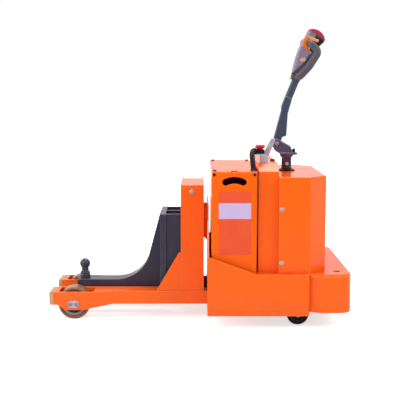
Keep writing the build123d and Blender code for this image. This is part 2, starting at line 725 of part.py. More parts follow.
with BuildPart() as drive_hub:
    add(hub(STEER_X, 0, DRIVE_R, DRIVE_R - DRIVE_TYRE_T, 0, 0.92 * DRIVE_W, DRIVE_BOSS_R))
    with BuildSketch(Plane.XZ):
        with Locations((STEER_X, DRIVE_R)):
            Circle(AXLE_R)
    extrude(amount=-GEARBOX_Y - AXLE_DEPTH + GAP)
drive_hub.part.label = "drive_hub"
export_step(drive_hub.part, "parts/drive_hub.step")

# Fork leg, an upside-down channel with a pocket for the load roller at its tip
with BuildPart() as fork_leg_right:
    with BuildSketch(Plane.XY.offset(LEG_BULGE)):
        Polygon(
            (LEG_X0, -LEG_INNER),
            (LEG_X0, -LEG_TIP_OUTER),
            (FLARE_X1, -LEG_TIP_OUTER),
            (FLARE_X0, -LEG_OUTER),
            (PANEL_X0, -LEG_OUTER),
            (PANEL_X0, -LEG_INNER),
            align=None,
        )
    extrude(amount=LEG_TOP - LEG_BULGE)
    with BuildSketch(Plane.XZ):
        with BuildLine():
            FilletPolyline(
                (LEG_X0, LEG_BOTTOM),
                (LEG_X0 + LEG_TOE, LEG_BOTTOM),
                (ROLLER_X - LEG_BULGE_LEAD, LEG_BULGE),
                (ROLLER_X + LEG_BULGE_TAIL, LEG_BULGE),
                (FLARE_X0, LEG_BOTTOM),
                (PANEL_X0, LEG_BOTTOM),
                radius=LEG_BEND_R,
            )
            Polyline((PANEL_X0, LEG_BOTTOM), (PANEL_X0, LEG_TOP), (LEG_X0, LEG_TOP), (LEG_X0, LEG_BOTTOM))
        make_face()
    extrude(amount=2 * LEG_TIP_OUTER, both=True, mode=Mode.INTERSECT)
    with BuildSketch(Plane.XY):
        Polygon(
            (LEG_X0 + LEG_PLATE, -POCKET_IN),
            (LEG_X0 + LEG_PLATE, -POCKET_OUT),
            (FLARE_X1, -POCKET_OUT),
            (FLARE_X0, -LEG_OUTER + LEG_PLATE),
            (PANEL_X0 - LEG_PLATE, -LEG_OUTER + LEG_PLATE),
            (PANEL_X0 - LEG_PLATE, -POCKET_IN),
            align=None,
        )
    extrude(amount=LEG_TOP - LEG_PLATE, mode=Mode.SUBTRACT)
    with BuildSketch(Plane.XY):
        with Locations(((ROLLER_SLOT_X0 + ROLLER_SLOT_X1) / 2, -ROLLER_Y)):
            RectangleRounded(ROLLER_SLOT_X1 - ROLLER_SLOT_X0, POCKET_OUT - POCKET_IN, ROLLER_SLOT_R)
    extrude(amount=2 * LEG_TOP, mode=Mode.SUBTRACT)
    with BuildSketch(Plane.XZ):
        with Locations((ROLLER_X, ROLLER_R)):
            Circle(LOAD_PIN_R + PIN_GAP)
    extrude(amount=2 * LEG_TIP_OUTER, both=True, mode=Mode.SUBTRACT)
fork_leg_right.part.label = "fork_leg_right"
export_step(fork_leg_right.part, "parts/fork_leg_right.step")

with BuildPart() as fork_leg_left:
    mirror(fork_leg_right.part, about=Plane.XZ)
fork_leg_left.part.label = "fork_leg_left"
export_step(fork_leg_left.part, "parts/fork_leg_left.step")

# Buffer plates on the two leg tips, with a narrow bevel round the outer face
with BuildPart() as tip_buffers:
    with BuildSketch(Plane.YZ.offset(LEG_X0)):
        with Locations((-(LEG_INNER + LEG_TIP_OUTER) / 2, (LEG_BOTTOM + LEG_TOP) / 2)):
            Rectangle(LEG_TIP_OUTER - LEG_INNER, LEG_TOP - LEG_BOTTOM)
    extrude(amount=-BUFFER_T)
    chamfer(tip_buffers.faces().sort_by(Axis.X)[0].edges(), BUFFER_EDGE)
    mirror(about=Plane.XZ)
tip_buffers.part.label = "tip_buffers"
export_step(tip_buffers.part, "parts/tip_buffers.step")

# Load roller axles
with BuildPart() as load_axles:
    with BuildSketch(Plane.XZ.offset(LEG_INNER)):
        with Locations((ROLLER_X, ROLLER_R)):
            Circle(LOAD_PIN_R)
    extrude(amount=LEG_TIP_OUTER - LEG_INNER)
    mirror(about=Plane.XZ)
load_axles.part.label = "load_axles"
export_step(load_axles.part, "parts/load_axles.step")

# Oval keeper plates over the axle ends
with BuildPart() as axle_keepers:
    with BuildSketch(Plane.XZ.offset(LEG_TIP_OUTER)):
        with Locations((ROLLER_X, ROLLER_R)):
            SlotOverall(KEEPER_LENGTH, KEEPER_HEIGHT)
    extrude(amount=KEEPER_T)
    chamfer(axle_keepers.faces().sort_by(Axis.Y)[0].edges(), KEEPER_T / 5)
    mirror(about=Plane.XZ)
axle_keepers.part.label = "axle_keepers"
export_step(axle_keepers.part, "parts/axle_keepers.step")

# Load rollers
for side, name in ((-1, "right"), (1, "left")):
    with BuildPart() as load_tyre:
        add(tyre(ROLLER_X, side * ROLLER_Y, ROLLER_R, ROLLER_R, ROLLER_TYRE_T, ROLLER_W))
    load_tyre.part.label = "load_tyre_" + name
    export_step(load_tyre.part, "parts/load_tyre_" + name + ".step")
    with BuildPart() as load_hub:
        add(
            hub(
                ROLLER_X, side * ROLLER_Y, ROLLER_R,
                ROLLER_R - ROLLER_TYRE_T, LOAD_PIN_R + GAP, 0.95 * ROLLER_W, ROLLER_BOSS_R,
            )
        )
    load_hub.part.label = "load_hub_" + name
    export_step(load_hub.part, "parts/load_hub_" + name + ".step")

# Mast post, a channel standing on the two legs and open toward the hitch
with BuildPart() as mast_post:
    with BuildSketch(Plane.XY.offset(LEG_TOP)):
        with Locations((POST_MID, 0)):
            Rectangle(POST_DEPTH, 2 * POST_HALF)
        with Locations((POST_MID - POST_PLATE, 0)):
            Rectangle(POST_DEPTH, 2 * POST_IN, mode=Mode.SUBTRACT)
    extrude(amount=CAP_BOTTOM - LEG_TOP)
mast_post.part.label = "mast_post"
export_step(mast_post.part, "parts/mast_post.step")

# Mast cap
with BuildPart() as mast_cap:
    with BuildSketch(Plane.XY.offset(CAP_BOTTOM)):
        with Locations((POST_MID, 0)):
            Rectangle(POST_DEPTH, 2 * POST_HALF)
    extrude(amount=POST_CAP_T)
mast_cap.part.label = "mast_cap"
export_step(mast_cap.part, "parts/mast_cap.step")

# Gusset plates in the angle between post and legs
with BuildPart() as mast_gussets:
    with BuildSketch(Plane.XZ.offset(POST_IN)):
        Polygon(
            (POST_X0 - GUSSET_REACH, LEG_TOP),
            (POST_X0, LEG_TOP),
            (POST_X0, GUSSET_TOP),
            (POST_X0 - GUSSET_TIP, GUSSET_TOP),
            align=None,
        )
    extrude(amount=POST_PLATE)
    mirror(about=Plane.XZ)
mast_gussets.part.label = "mast_gussets"
export_step(mast_gussets.part, "parts/mast_gussets.step")

# Link between post and rear wall
with BuildPart() as mast_link:
    with BuildSketch(Plane.XZ):
        Polygon(
            (POST_X1, LINK_BOTTOM + LINK_SLOPE),
            (PANEL_X0, LINK_BOTTOM),
            (PANEL_X0, LINK_TOP),
            (POST_X1, LINK_TOP),
            align=None,
        )
    extrude(amount=LINK_HALF, both=True)
mast_link.part.label = "mast_link"
export_step(mast_link.part, "parts/mast_link.step")

# Foot plate between the legs that carries the lift ram
with BuildPart() as mast_foot:
    with BuildSketch(Plane.XY.offset(RAM_BASE - FOOT_T)):
        with Locations(((POST_X0 + PANEL_X0) / 2, 0)):
            Rectangle(PANEL_X0 - POST_X0, 2 * LEG_INNER)
    extrude(amount=FOOT_T)
mast_foot.part.label = "mast_foot"
export_step(mast_foot.part, "parts/mast_foot.step")

# Lift ram barrel
with BuildPart() as ram_barrel:
    with BuildSketch(Plane.XY.offset(RAM_BASE)):
        with Locations((RAM_X, 0)):
            Circle(RAM_R)
    extrude(amount=RAM_TOP - RAM_BASE)
    with BuildSketch(Plane.XY.offset(RAM_BASE + RAM_WALL)):
        with Locations((RAM_X, 0)):
            Circle(ROD_R + GAP)
    extrude(amount=RAM_TOP, mode=Mode.SUBTRACT)
ram_barrel.part.label = "ram_barrel"
export_step(ram_barrel.part, "parts/ram_barrel.step")

# Hitch carriage: front plate, two side plates, centre rib and the ram's crossbar
with BuildPart() as hitch_carriage:
    with BuildSketch(Plane.XY.offset(CARRIAGE_BOTTOM)):
        with Locations(((CARRIAGE_X0 + CARRIAGE_FACE) / 2, 0)):
            Rectangle(CARRIAGE_PLATE, 2 * CARRIAGE_HALF)
    extrude(amount=CARRIAGE_TOP - CARRIAGE_BOTTOM)
    with BuildSketch(Plane.XY.offset(CARRIAGE_BOTTOM + CARRIAGE_SIDE_RISE)):
        with Locations(*[((CARRIAGE_FACE + CARRIAGE_BACK) / 2, s * (CARRIAGE_SIDE_OUT - CARRIAGE_SIDE_T / 2))
                         for s in (-1, 1)]):
            Rectangle(CARRIAGE_BACK - CARRIAGE_FACE, CARRIAGE_SIDE_T)
        with Locations(((CARRIAGE_FACE + RAM_FRONT) / 2, 0)):
            Rectangle(RAM_FRONT - CARRIAGE_FACE, CARRIAGE_RIB_T)
    extrude(amount=CARRIAGE_TOP - CARRIAGE_BOTTOM - CARRIAGE_SIDE_RISE)
    with BuildSketch(Plane.XY.offset(CROSSBAR_BOTTOM)):
        with Locations(((RAM_FRONT + CARRIAGE_BACK) / 2, 0)):
            Rectangle(CARRIAGE_BACK - RAM_FRONT, 2 * CARRIAGE_SIDE_OUT - CARRIAGE_SIDE_T)
    extrude(amount=CROSSBAR_T)
hitch_carriage.part.label = "hitch_carriage"
export_step(hitch_carriage.part, "parts/hitch_carriage.step")

# Guide pads that run on the inner faces of the post
with BuildPart() as guide_pads:
    with BuildSketch(Plane.XZ.offset(CARRIAGE_SIDE_OUT)):
        with Locations(
            ((POST_X0 + CARRIAGE_BACK) / 2, CARRIAGE_TOP - PAD_HEIGHT),
            ((POST_X0 + CARRIAGE_BACK) / 2, CARRIAGE_BOTTOM + PAD_HEIGHT),
        ):
            RectangleRounded(PAD_LENGTH, PAD_HEIGHT, PAD_CORNER_R)
    extrude(amount=POST_IN - GAP - CARRIAGE_SIDE_OUT)
    mirror(about=Plane.XZ)
guide_pads.part.label = "guide_pads"
export_step(guide_pads.part, "parts/guide_pads.step")


def tongue_outline(inset):
    """Side outline of the tongue, from the carriage down its curved web to the tip, set in by a plate."""
    top_x = WEB_TOP_X + inset / cos(radians(WEB_LEAN))
    foot_z = TONGUE_TOP - inset
    foot_x = top_x - (WEB_TOP - foot_z) * WEB_SLOPE
    tip_x = TONGUE_X0 + inset
    with BuildSketch() as outline:
        with BuildLine():
            top = FilletPolyline((top_x, WEB_TOP), (foot_x, foot_z), (tip_x, foot_z), radius=WEB_BEND + inset)
            Polyline(
                top @ 1,
                (tip_x, TONGUE_BOTTOM - inset),
                (CARRIAGE_X0 + inset, TONGUE_BOTTOM - inset),
                (CARRIAGE_X0 + inset, WEB_TOP),
                top @ 0,
            )
        make_face()
    return outline.sketch


# Hitch tongue: curved top plate, two side plates and a closed tip, open underneath
with BuildPart() as hitch_tongue:
    with BuildSketch(Plane.XZ):
        add(tongue_outline(0))
    extrude(amount=TONGUE_HALF, both=True)
    with BuildSketch(Plane.XZ):
        add(tongue_outline(TONGUE_PLATE))
    extrude(amount=TONGUE_HALF - TONGUE_PLATE, both=True, mode=Mode.SUBTRACT)
hitch_tongue.part.label = "hitch_tongue"
export_step(hitch_tongue.part, "parts/hitch_tongue.step")

# Tow ball on its grooved collar
with BuildPart() as tow_ball:
    with BuildSketch(Plane(origin=(BALL_X, 0, 0), x_dir=(1, 0, 0), z_dir=(0, -1, 0))):
        Polygon(
            (0, TONGUE_TOP),
            (BALL_COLLAR_R, TONGUE_TOP),
            (BALL_COLLAR_R, TONGUE_TOP + BALL_COLLAR_T),
            (BALL_COLLAR_R - BALL_GROOVE, TONGUE_TOP + BALL_COLLAR_T),
            (BALL_COLLAR_R - BALL_GROOVE, TONGUE_TOP + BALL_COLLAR_T + BALL_GROOVE),
            (BALL_COLLAR_R, TONGUE_TOP + BALL_COLLAR_T + BALL_GROOVE),
            (BALL_COLLAR_R, TONGUE_TOP + BALL_COLLAR_T + 2 * BALL_GROOVE),
            (BALL_NECK_R, TONGUE_TOP + BALL_COLLAR_T + 4 * BALL_GROOVE),
            (BALL_NECK_R, BALL_Z),
            (0, BALL_Z),
            align=None,
        )
    revolve(axis=Axis((BALL_X, 0, 0), (0, 0, 1)))
    with Locations((BALL_X, 0, BALL_Z)):
        Sphere(BALL_R)
tow_ball.part.label = "tow_ball"
export_step(tow_ball.part, "parts/tow_ball.step")

# Lift ram rod, pushing up under the carriage's crossbar
with BuildPart() as ram_rod:
    with BuildSketch(Plane.XY.offset(RAM_BASE + RAM_WALL + GAP)):
        with Locations((RAM_X, 0)):
            Circle(ROD_R)
    extrude(amount=CROSSBAR_BOTTOM - RAM_BASE - RAM_WALL - GAP)
ram_rod.part.label = "ram_rod"
export_step(ram_rod.part, "parts/ram_rod.step")

# Tiller yoke: two cheeks on a collar with a pointed brim
with BuildPart() as tiller_yoke:
    with BuildSketch(Plane.XZ):
        Polygon(
            (PIVOT_X - 14, PIVOT_Z - 12),
            (PIVOT_X - 8, PIVOT_Z - 33),
            (STEER_X - COLUMN_R, YOKE_BOTTOM + BRIM_T),
            (STEER_X + COLUMN_R, YOKE_BOTTOM + BRIM_T),
            (STEER_X + COLUMN_R, PIVOT_Z - 31),
            (STEER_X + 13, PIVOT_Z - 12),
            (PIVOT_X + 29, PIVOT_Z + 7),
            (PIVOT_X + 10, PIVOT_Z + 20),
            align=None,
        )
        with Locations((PIVOT_X, PIVOT_Z)):
            Circle(YOKE_EYE_R)
    extrude(amount=YOKE_HALF, both=True)
    chamfer(tiller_yoke.faces().filter_by(Axis.Y).edges(), YOKE_EDGE)
    with BuildSketch(Plane.XZ):
        with Locations((STEER_X, YOKE_FLOOR + HEAD_RISE / 2)):
            Rectangle(2 * HEAD_RISE, HEAD_RISE)
    extrude(amount=YOKE_SLOT_HALF, both=True, mode=Mode.SUBTRACT)
    with BuildSketch(STEER_PLANE):
        Polygon(
            (0, YOKE_BOTTOM),
            (COLUMN_R + BRIM_NOSE_R, YOKE_BOTTOM),
            (BRIM_R, YOKE_BOTTOM + BRIM_T),
            (BRIM_R, YOKE_BOTTOM + 2 * BRIM_T),
            (0, YOKE_BOTTOM + 2 * BRIM_T),
            align=None,
        )
    revolve(axis=STEER_AXIS)
    with BuildSketch(Plane.XY.offset(YOKE_BOTTOM + BRIM_T)):
        with Locations((STEER_X, 0)):
            Circle(BRIM_R)
        with Locations((STEER_X + BRIM_NOSE, 0)):
            Circle(BRIM_NOSE_R)
        make_hull()
    extrude(amount=BRIM_T)
    with BuildSketch(Plane.XZ):
        with Locations((PIVOT_X, PIVOT_Z)):
            Circle(PIVOT_R + PIN_GAP)
    extrude(amount=YOKE_HALF + PIVOT_HEAD_T, both=True, mode=Mode.SUBTRACT)
tiller_yoke.part.label = "tiller_yoke"
export_step(tiller_yoke.part, "parts/tiller_yoke.step")

# Tiller pivot bolt
with BuildPart() as pivot_bolt:
    with BuildSketch(Plane.XZ):
        with Locations((PIVOT_X, PIVOT_Z)):
            Circle(PIVOT_R)
    extrude(amount=YOKE_HALF, both=True)
    for s in (-1, 1):
        with BuildSketch(Plane.XZ.offset(s * YOKE_HALF)):
            with Locations((PIVOT_X, PIVOT_Z)):
                Circle(PIVOT_HEAD_R)
        extrude(amount=s * PIVOT_HEAD_T)
pivot_bolt.part.label = "pivot_bolt"
export_step(pivot_bolt.part, "parts/pivot_bolt.step")

# Tiller arm, a cast lever with its eye between the yoke's cheeks
ARM_TOP_BACK = head_point(-TUBE_LENGTH, TUBE_DEPTH / 2 - TUBE_SHIFT, 0)
ARM_TOP_FRONT = head_point(-TUBE_LENGTH, -TUBE_DEPTH / 2 - TUBE_SHIFT, 0)
with BuildPart() as tiller_arm:
    with BuildSketch(Plane.XZ):
        Polygon(
            (PIVOT_X - ARM_EYE_R, PIVOT_Z),
            (PIVOT_X - 10, PIVOT_Z + 33),
            (PIVOT_X + 22, PIVOT_Z + 156),
            (PIVOT_X + 22, PIVOT_Z + 173),
            (ARM_TOP_BACK.X, ARM_TOP_BACK.Z),
            (ARM_TOP_FRONT.X, ARM_TOP_FRONT.Z),
            (PIVOT_X + 52, PIVOT_Z + 140),
            (PIVOT_X + 46, PIVOT_Z + 36),
            (PIVOT_X + 27, PIVOT_Z + 29),
            (PIVOT_X + ARM_EYE_R, PIVOT_Z),
            align=None,
        )
        with Locations((PIVOT_X, PIVOT_Z)):
            Circle(ARM_EYE_R)
    extrude(amount=ARM_HALF, both=True)
    chamfer(tiller_arm.faces().filter_by(Axis.Y).edges(), ARM_EDGE)
    with BuildSketch(Plane.XZ):
        with Locations((PIVOT_X, PIVOT_Z)):
            Circle(ARM_EYE_R - ARM_EDGE)
    extrude(amount=YOKE_SLOT_HALF - GAP, both=True)
    with BuildSketch(Plane.XZ):
        with Locations((PIVOT_X, PIVOT_Z)):
            Circle(PIVOT_R + GAP)
    extrude(amount=YOKE_HALF, both=True, mode=Mode.SUBTRACT)
tiller_arm.part.label = "tiller_arm"
export_step(tiller_arm.part, "parts/tiller_arm.step")

# Tiller tube between arm and head
with BuildPart() as tiller_tube:
    with BuildSketch(HEAD_PLANE.offset(-TUBE_LENGTH)):
        with Locations((-TUBE_SHIFT, 0)):
            RectangleRounded(TUBE_DEPTH, TUBE_WIDTH, TUBE_CORNER_R)
    extrude(amount=TUBE_LENGTH)
tiller_tube.part.label = "tiller_tube"
export_step(tiller_tube.part, "parts/tiller_tube.step")


def head_body():
    """Moulded tiller head, lofted from the tube up to its wide end."""
    with BuildPart() as body:
        with BuildSketch(HEAD_PLANE):
            with Locations((0.03 * HEAD_DEPTH, 0)):
                RectangleRounded(0.54 * HEAD_DEPTH, 0.52 * HEAD_WIDTH, 0.64 * HEAD_CORNER_R)
        with BuildSketch(HEAD_PLANE.offset(0.27 * HEAD_LENGTH)):
            with Locations((0.14 * HEAD_DEPTH, 0)):
                RectangleRounded(0.64 * HEAD_DEPTH, 0.64 * HEAD_WIDTH, 0.86 * HEAD_CORNER_R)
        with BuildSketch(HEAD_PLANE.offset(0.485 * HEAD_LENGTH)):
            with Locations((0.18 * HEAD_DEPTH, 0)):
                RectangleRounded(0.69 * HEAD_DEPTH, 0.74 * HEAD_WIDTH, 0.93 * HEAD_CORNER_R)
        with BuildSketch(HEAD_PLANE.offset(0.717 * HEAD_LENGTH)):
            with Locations((-0.013 * HEAD_DEPTH, 0)):
                RectangleRounded(HEAD_DEPTH, 0.95 * HEAD_WIDTH, HEAD_CORNER_R)
        with BuildSketch(HEAD_PLANE.offset(HEAD_LENGTH)):
            with Locations((-0.09 * HEAD_DEPTH, 0)):
                RectangleRounded(HEAD_DEPTH, HEAD_WIDTH, HEAD_CORNER_R)
        loft()
    return body.part


def crown(rise):
    """Three points of the arc across the head's end, raised along the head."""
    back = (CROWN_BACK, 0.917 * CROWN_TOP + rise)
    front = (-CROWN_FRONT, 0.858 * CROWN_TOP + rise)
    return back, (0.2 * CROWN_BACK, CROWN_TOP + rise), front


# Tiller head with a looped grip on each side
with BuildPart() as tiller_head:
    add(head_body())
    with BuildSketch(HEAD_SIDE):
        with BuildLine():
            h1 = ThreePointArc(*crown(0))
            Polyline(h1 @ 1, (-CROWN_FRONT, -TUBE_LENGTH), (CROWN_BACK, -TUBE_LENGTH), h1 @ 0)
        make_face()
    extrude(amount=GRIP_REACH, both=True, mode=Mode.INTERSECT)
    for s in (-1, 1):
        with BuildLine() as grip_path:
            FilletPolyline(
                head_point(0.11 * GRIP_TOP, 0, s * 0.11 * GRIP_REACH),
                head_point(0.13 * GRIP_TOP, -GRIP_OUT, s * 0.65 * GRIP_REACH),
                head_point(0.44 * GRIP_TOP, -3.4 * GRIP_OUT, s * GRIP_REACH),
                head_point(0.873 * GRIP_TOP, -5.1 * GRIP_OUT, s * GRIP_REACH),
                head_point(GRIP_TOP, GRIP_OUT, s * 0.87 * GRIP_REACH),
                head_point(GRIP_TOP, GRIP_OUT, s * 0.22 * GRIP_REACH),
                radius=(1.8 * GRIP_R, 3.5 * GRIP_R, 1.5 * GRIP_R, 1.4 * GRIP_R),
            )
        with BuildSketch(Plane(origin=grip_path.line @ 0, z_dir=grip_path.line % 0)):
            Circle(GRIP_R)
        sweep(path=grip_path.line)
tiller_head.part.label = "tiller_head"
export_step(tiller_head.part, "parts/tiller_head.step")

# Belly switch, the curved cap on the end of the head
with BuildPart() as belly_switch:
    add(head_body())
    with BuildSketch(HEAD_SIDE):
        with BuildLine():
            k1 = ThreePointArc(*crown(0))
            k2 = ThreePointArc(*crown(BELLY_T))
            Line(k1 @ 0, k2 @ 0)
            Line(k1 @ 1, k2 @ 1)
        make_face()
    extrude(amount=GRIP_REACH, both=True, mode=Mode.INTERSECT)
belly_switch.part.label = "belly_switch"
export_step(belly_switch.part, "parts/belly_switch.step")

# Throttle wings, a crescent and a rocker bar round the inner end of each grip
with BuildPart() as throttle_wings:
    with BuildSketch(HEAD_SIDE.offset(WING_OFFSET)):
        with Locations((GRIP_OUT, GRIP_TOP)):
            Circle(WING_R)
            Polygon(
                (0, 0),
                (1.35 * WING_R, 1.5 * WING_R),
                (1.35 * WING_R, 3 * WING_R),
                (-3 * WING_R, 3 * WING_R),
                (-3 * WING_R, -3 * WING_R),
                (-1.2 * WING_R, -3 * WING_R),
                align=None, mode=Mode.SUBTRACT,
            )
            with Locations((-WING_BAR / 8, GRIP_R + WING_BAR_T / 2)):
                Rectangle(WING_BAR, WING_BAR_T)
            Circle(GRIP_R + GAP, mode=Mode.SUBTRACT)
    extrude(amount=WING_T)
    mirror(about=Plane.XZ)
throttle_wings.part.label = "throttle_wings"
export_step(throttle_wings.part, "parts/throttle_wings.step")

# Emergency stop bracket with its leaning strap
with BuildPart() as stop_bracket:
    with BuildSketch(Plane.XZ.offset(-STOP_Y)):
        with BuildLine():
            Polyline(
                (STOP_X + 2 * STOP_HALF, TOWER_TOP),
                (STOP_X + STOP_HALF, TOWER_TOP),
                (STOP_X + STOP_HALF, TOWER_TOP + STOP_RISE - STOP_PLATE),
                (STOP_X - SWITCH_LENGTH / 2, TOWER_TOP + STOP_RISE - STOP_PLATE),
            )
            offset(amount=STOP_PLATE, side=Side.RIGHT)
        make_face()
    extrude(amount=STOP_HALF, both=True)
    with BuildSketch(Plane.XZ.offset(-STOP_Y - STOP_HALF)):
        with Locations((STOP_X + STRAP_REACH, TOWER_TOP + STRAP_RISE)):
            Circle(STRAP_R)
        with Locations((STOP_X + STRAP_FOOT, TOWER_TOP + STRAP_R)):
            Rectangle(2.4 * STRAP_R, 2 * STRAP_R)
        make_hull()
        with Locations((STOP_X + STRAP_REACH, TOWER_TOP + STRAP_RISE)):
            Circle(STRAP_HOLE_R, mode=Mode.SUBTRACT)
    extrude(amount=-STRAP_T)
stop_bracket.part.label = "stop_bracket"
export_step(stop_bracket.part, "parts/stop_bracket.step")

# Emergency stop switch body and its mushroom knob
with BuildPart() as stop_switch:
    with BuildSketch(Plane.XY.offset(TOWER_TOP + STOP_RISE)):
        with Locations((STOP_X, STOP_Y)):
            RectangleRounded(SWITCH_LENGTH, SWITCH_WIDTH, STOP_PLATE)
    extrude(amount=SWITCH_HEIGHT)
stop_switch.part.label = "stop_switch"
export_step(stop_switch.part, "parts/stop_switch.step")

KNOB_BOTTOM = TOWER_TOP + STOP_RISE + SWITCH_HEIGHT
with BuildPart() as stop_knob:
    with BuildSketch(Plane(origin=(STOP_X, STOP_Y, 0), x_dir=(1, 0, 0), z_dir=(0, -1, 0))):
        Polygon(
            (0, KNOB_BOTTOM),
            (KNOB_STEM_R, KNOB_BOTTOM),
            (KNOB_R, KNOB_BOTTOM + KNOB_HEIGHT / 2),
            (KNOB_R, KNOB_BOTTOM + 0.8 * KNOB_HEIGHT),
            (0.84 * KNOB_R, KNOB_BOTTOM + KNOB_HEIGHT),
            (0, KNOB_BOTTOM + KNOB_HEIGHT),
            align=None,
        )
    revolve(axis=Axis((STOP_X, STOP_Y, 0), (0, 0, 1)))
stop_knob.part.label = "stop_knob"
export_step(stop_knob.part, "parts/stop_knob.step")

# Battery conduit from the lid to the emergency stop switch
CONDUIT_Z = TOWER_TOP + STOP_RISE + CONDUIT_R
with BuildPart() as battery_conduit:
    with BuildLine() as conduit_path:
        FilletPolyline(
            (BATTERY_X1 - CONDUIT_EDGE, STOP_Y - CONDUIT_SIDE, BATTERY_TOP),
            (BATTERY_X1 - CONDUIT_EDGE, STOP_Y - CONDUIT_SIDE, BATTERY_TOP + 1.6 * CONDUIT_BEND_R),
            (BATTERY_X1 - CONDUIT_BACK, STOP_Y - 0.8 * CONDUIT_SIDE, CONDUIT_Z - CONDUIT_BEND_R / 2),
            (BATTERY_X1 - CONDUIT_BACK, STOP_Y, CONDUIT_Z),
            (STOP_X - SWITCH_LENGTH / 2, STOP_Y, CONDUIT_Z),
            radius=CONDUIT_BEND_R,
        )
    with BuildSketch(Plane(origin=conduit_path.line @ 0, z_dir=conduit_path.line % 0)):
        Circle(CONDUIT_R)
    sweep(path=conduit_path.line)
battery_conduit.part.label = "battery_conduit"
export_step(battery_conduit.part, "parts/battery_conduit.step")

# Key switch on the tower's top
with BuildPart() as key_switch:
    with BuildSketch(Plane.XY.offset(TOWER_TOP)):
        with Locations((TOWER_X1 - KEY_INSET, KEY_Y)):
            Circle(KEY_R)
    extrude(amount=KEY_HEIGHT)
    chamfer(key_switch.faces().sort_by(Axis.Z)[-1].edges(), KEY_HEIGHT / 5)
key_switch.part.label = "key_switch"
export_step(key_switch.part, "parts/key_switch.step")
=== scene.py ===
"""Dresses the walk-behind tow tug: finishes, fasteners, trim, light and camera."""

from __future__ import annotations

import functools
import json
import logging
import math
from contextlib import contextmanager
from dataclasses import dataclass
from enum import Enum
from typing import Any, Callable, Iterator, Sequence

import bpy
from mathutils import Matrix, Vector


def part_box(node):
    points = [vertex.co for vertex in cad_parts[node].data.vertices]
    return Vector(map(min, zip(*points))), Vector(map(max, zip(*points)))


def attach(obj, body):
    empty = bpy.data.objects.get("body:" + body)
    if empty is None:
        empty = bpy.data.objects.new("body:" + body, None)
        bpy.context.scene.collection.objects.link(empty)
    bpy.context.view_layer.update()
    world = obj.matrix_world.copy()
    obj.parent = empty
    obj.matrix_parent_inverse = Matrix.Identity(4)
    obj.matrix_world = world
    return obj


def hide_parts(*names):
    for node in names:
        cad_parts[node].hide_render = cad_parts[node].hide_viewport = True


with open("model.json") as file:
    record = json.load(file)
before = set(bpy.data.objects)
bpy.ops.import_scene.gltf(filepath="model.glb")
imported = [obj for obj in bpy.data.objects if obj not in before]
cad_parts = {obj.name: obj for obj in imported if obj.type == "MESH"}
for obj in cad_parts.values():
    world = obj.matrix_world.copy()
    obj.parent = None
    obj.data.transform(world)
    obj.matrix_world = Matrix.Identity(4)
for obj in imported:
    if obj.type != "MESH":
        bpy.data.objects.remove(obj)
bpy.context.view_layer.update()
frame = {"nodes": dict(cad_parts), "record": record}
LOG = logging.getLogger("tow_tug")
Piece = bpy.types.Object
Pair = tuple[float, float]
Triple = tuple[float, float, float]
Colour = Triple
Spot = tuple[Sequence[float], Sequence[float]]
Test = Callable[[Vector, Vector], bool]

UP = (0, 0, 1)
# Share of a direction along an axis, past which it runs along it, or under which it runs square to it
STEEP = 0.9
LEVEL = 0.1
# Reach of a test on places, in metres
GRACE = 1e-4


def srgb(*levels: int) -> Colour:
    """Turn the red, green and blue of a screen, 0 to 255, into the linear colour that a shader takes."""
    shares = (level / 255 for level in levels)
    return tuple(c / 12.92 if c <= 0.04045 else ((c + 0.055) / 1.055) ** 2.4 for c in shares)


def along(axis: int) -> Test:
    """Test for the edges that run along an axis."""
    return lambda middle, way: abs(way[axis]) > STEEP


def across(axis: int) -> Test:
    """Test for the edges that run square to an axis."""
    return lambda middle, way: abs(way[axis]) < LEVEL


def topmost(height: float) -> Test:
    """Test for the edges at a piece's top, which is at a height."""
    return lambda middle, way: middle.z > height - GRACE


def upward(centre: Vector, normal: Vector) -> bool:
    """Whether a face looks up."""
    return normal.z > STEEP


def outward(x: float, y: float, z: float) -> Spot:
    """Spot on an upright side that faces away from the tug's middle."""
    return (x, y, z), (0, math.copysign(1, y), 0)


def mirrored(x: float, y: float, z: float) -> list[Spot]:
    """Spots on the right and left sides, which face away from each other."""
    return [outward(x, side * y, z) for side in (-1, 1)]


@dataclass
class Value:
    """A shader socket that takes part in Python arithmetic."""

    graph: Graph
    socket: bpy.types.NodeSocket

    def _math(self, operation: str, first: Any, second: Any) -> Value:
        """Add one Math node on two values or numbers."""
        return self.graph.node("ShaderNodeMath", {"operation": operation}, {0: first, 1: second})

    def __add__(self, other: Any) -> Value:
        """Sum."""
        return self._math("ADD", self, other)

    def __sub__(self, other: Any) -> Value:
        """Difference."""
        return self._math("SUBTRACT", self, other)

    def __rsub__(self, other: Any) -> Value:
        """Difference with a number first."""
        return self._math("SUBTRACT", other, self)

    def __mul__(self, other: Any) -> Value:
        """Product."""
        return self._math("MULTIPLY", self, other)

    def power(self, exponent: float) -> Value:
        """Raise to a power."""
        return self._math("POWER", self, exponent)

    def size(self) -> Value:
        """Size without the sign."""
        return self._math("ABSOLUTE", self, 0.0)

    __radd__ = __add__
    __rmul__ = __mul__


@dataclass(frozen=True)
class Patches:
    """Soft patches over a surface: noise whose levels from low to high are stretched to 0 to 1."""

    scale: float
    detail: float = 3.0
    low: float = 0.35
    high: float = 0.65
    stretch: Triple = (1, 1, 1)


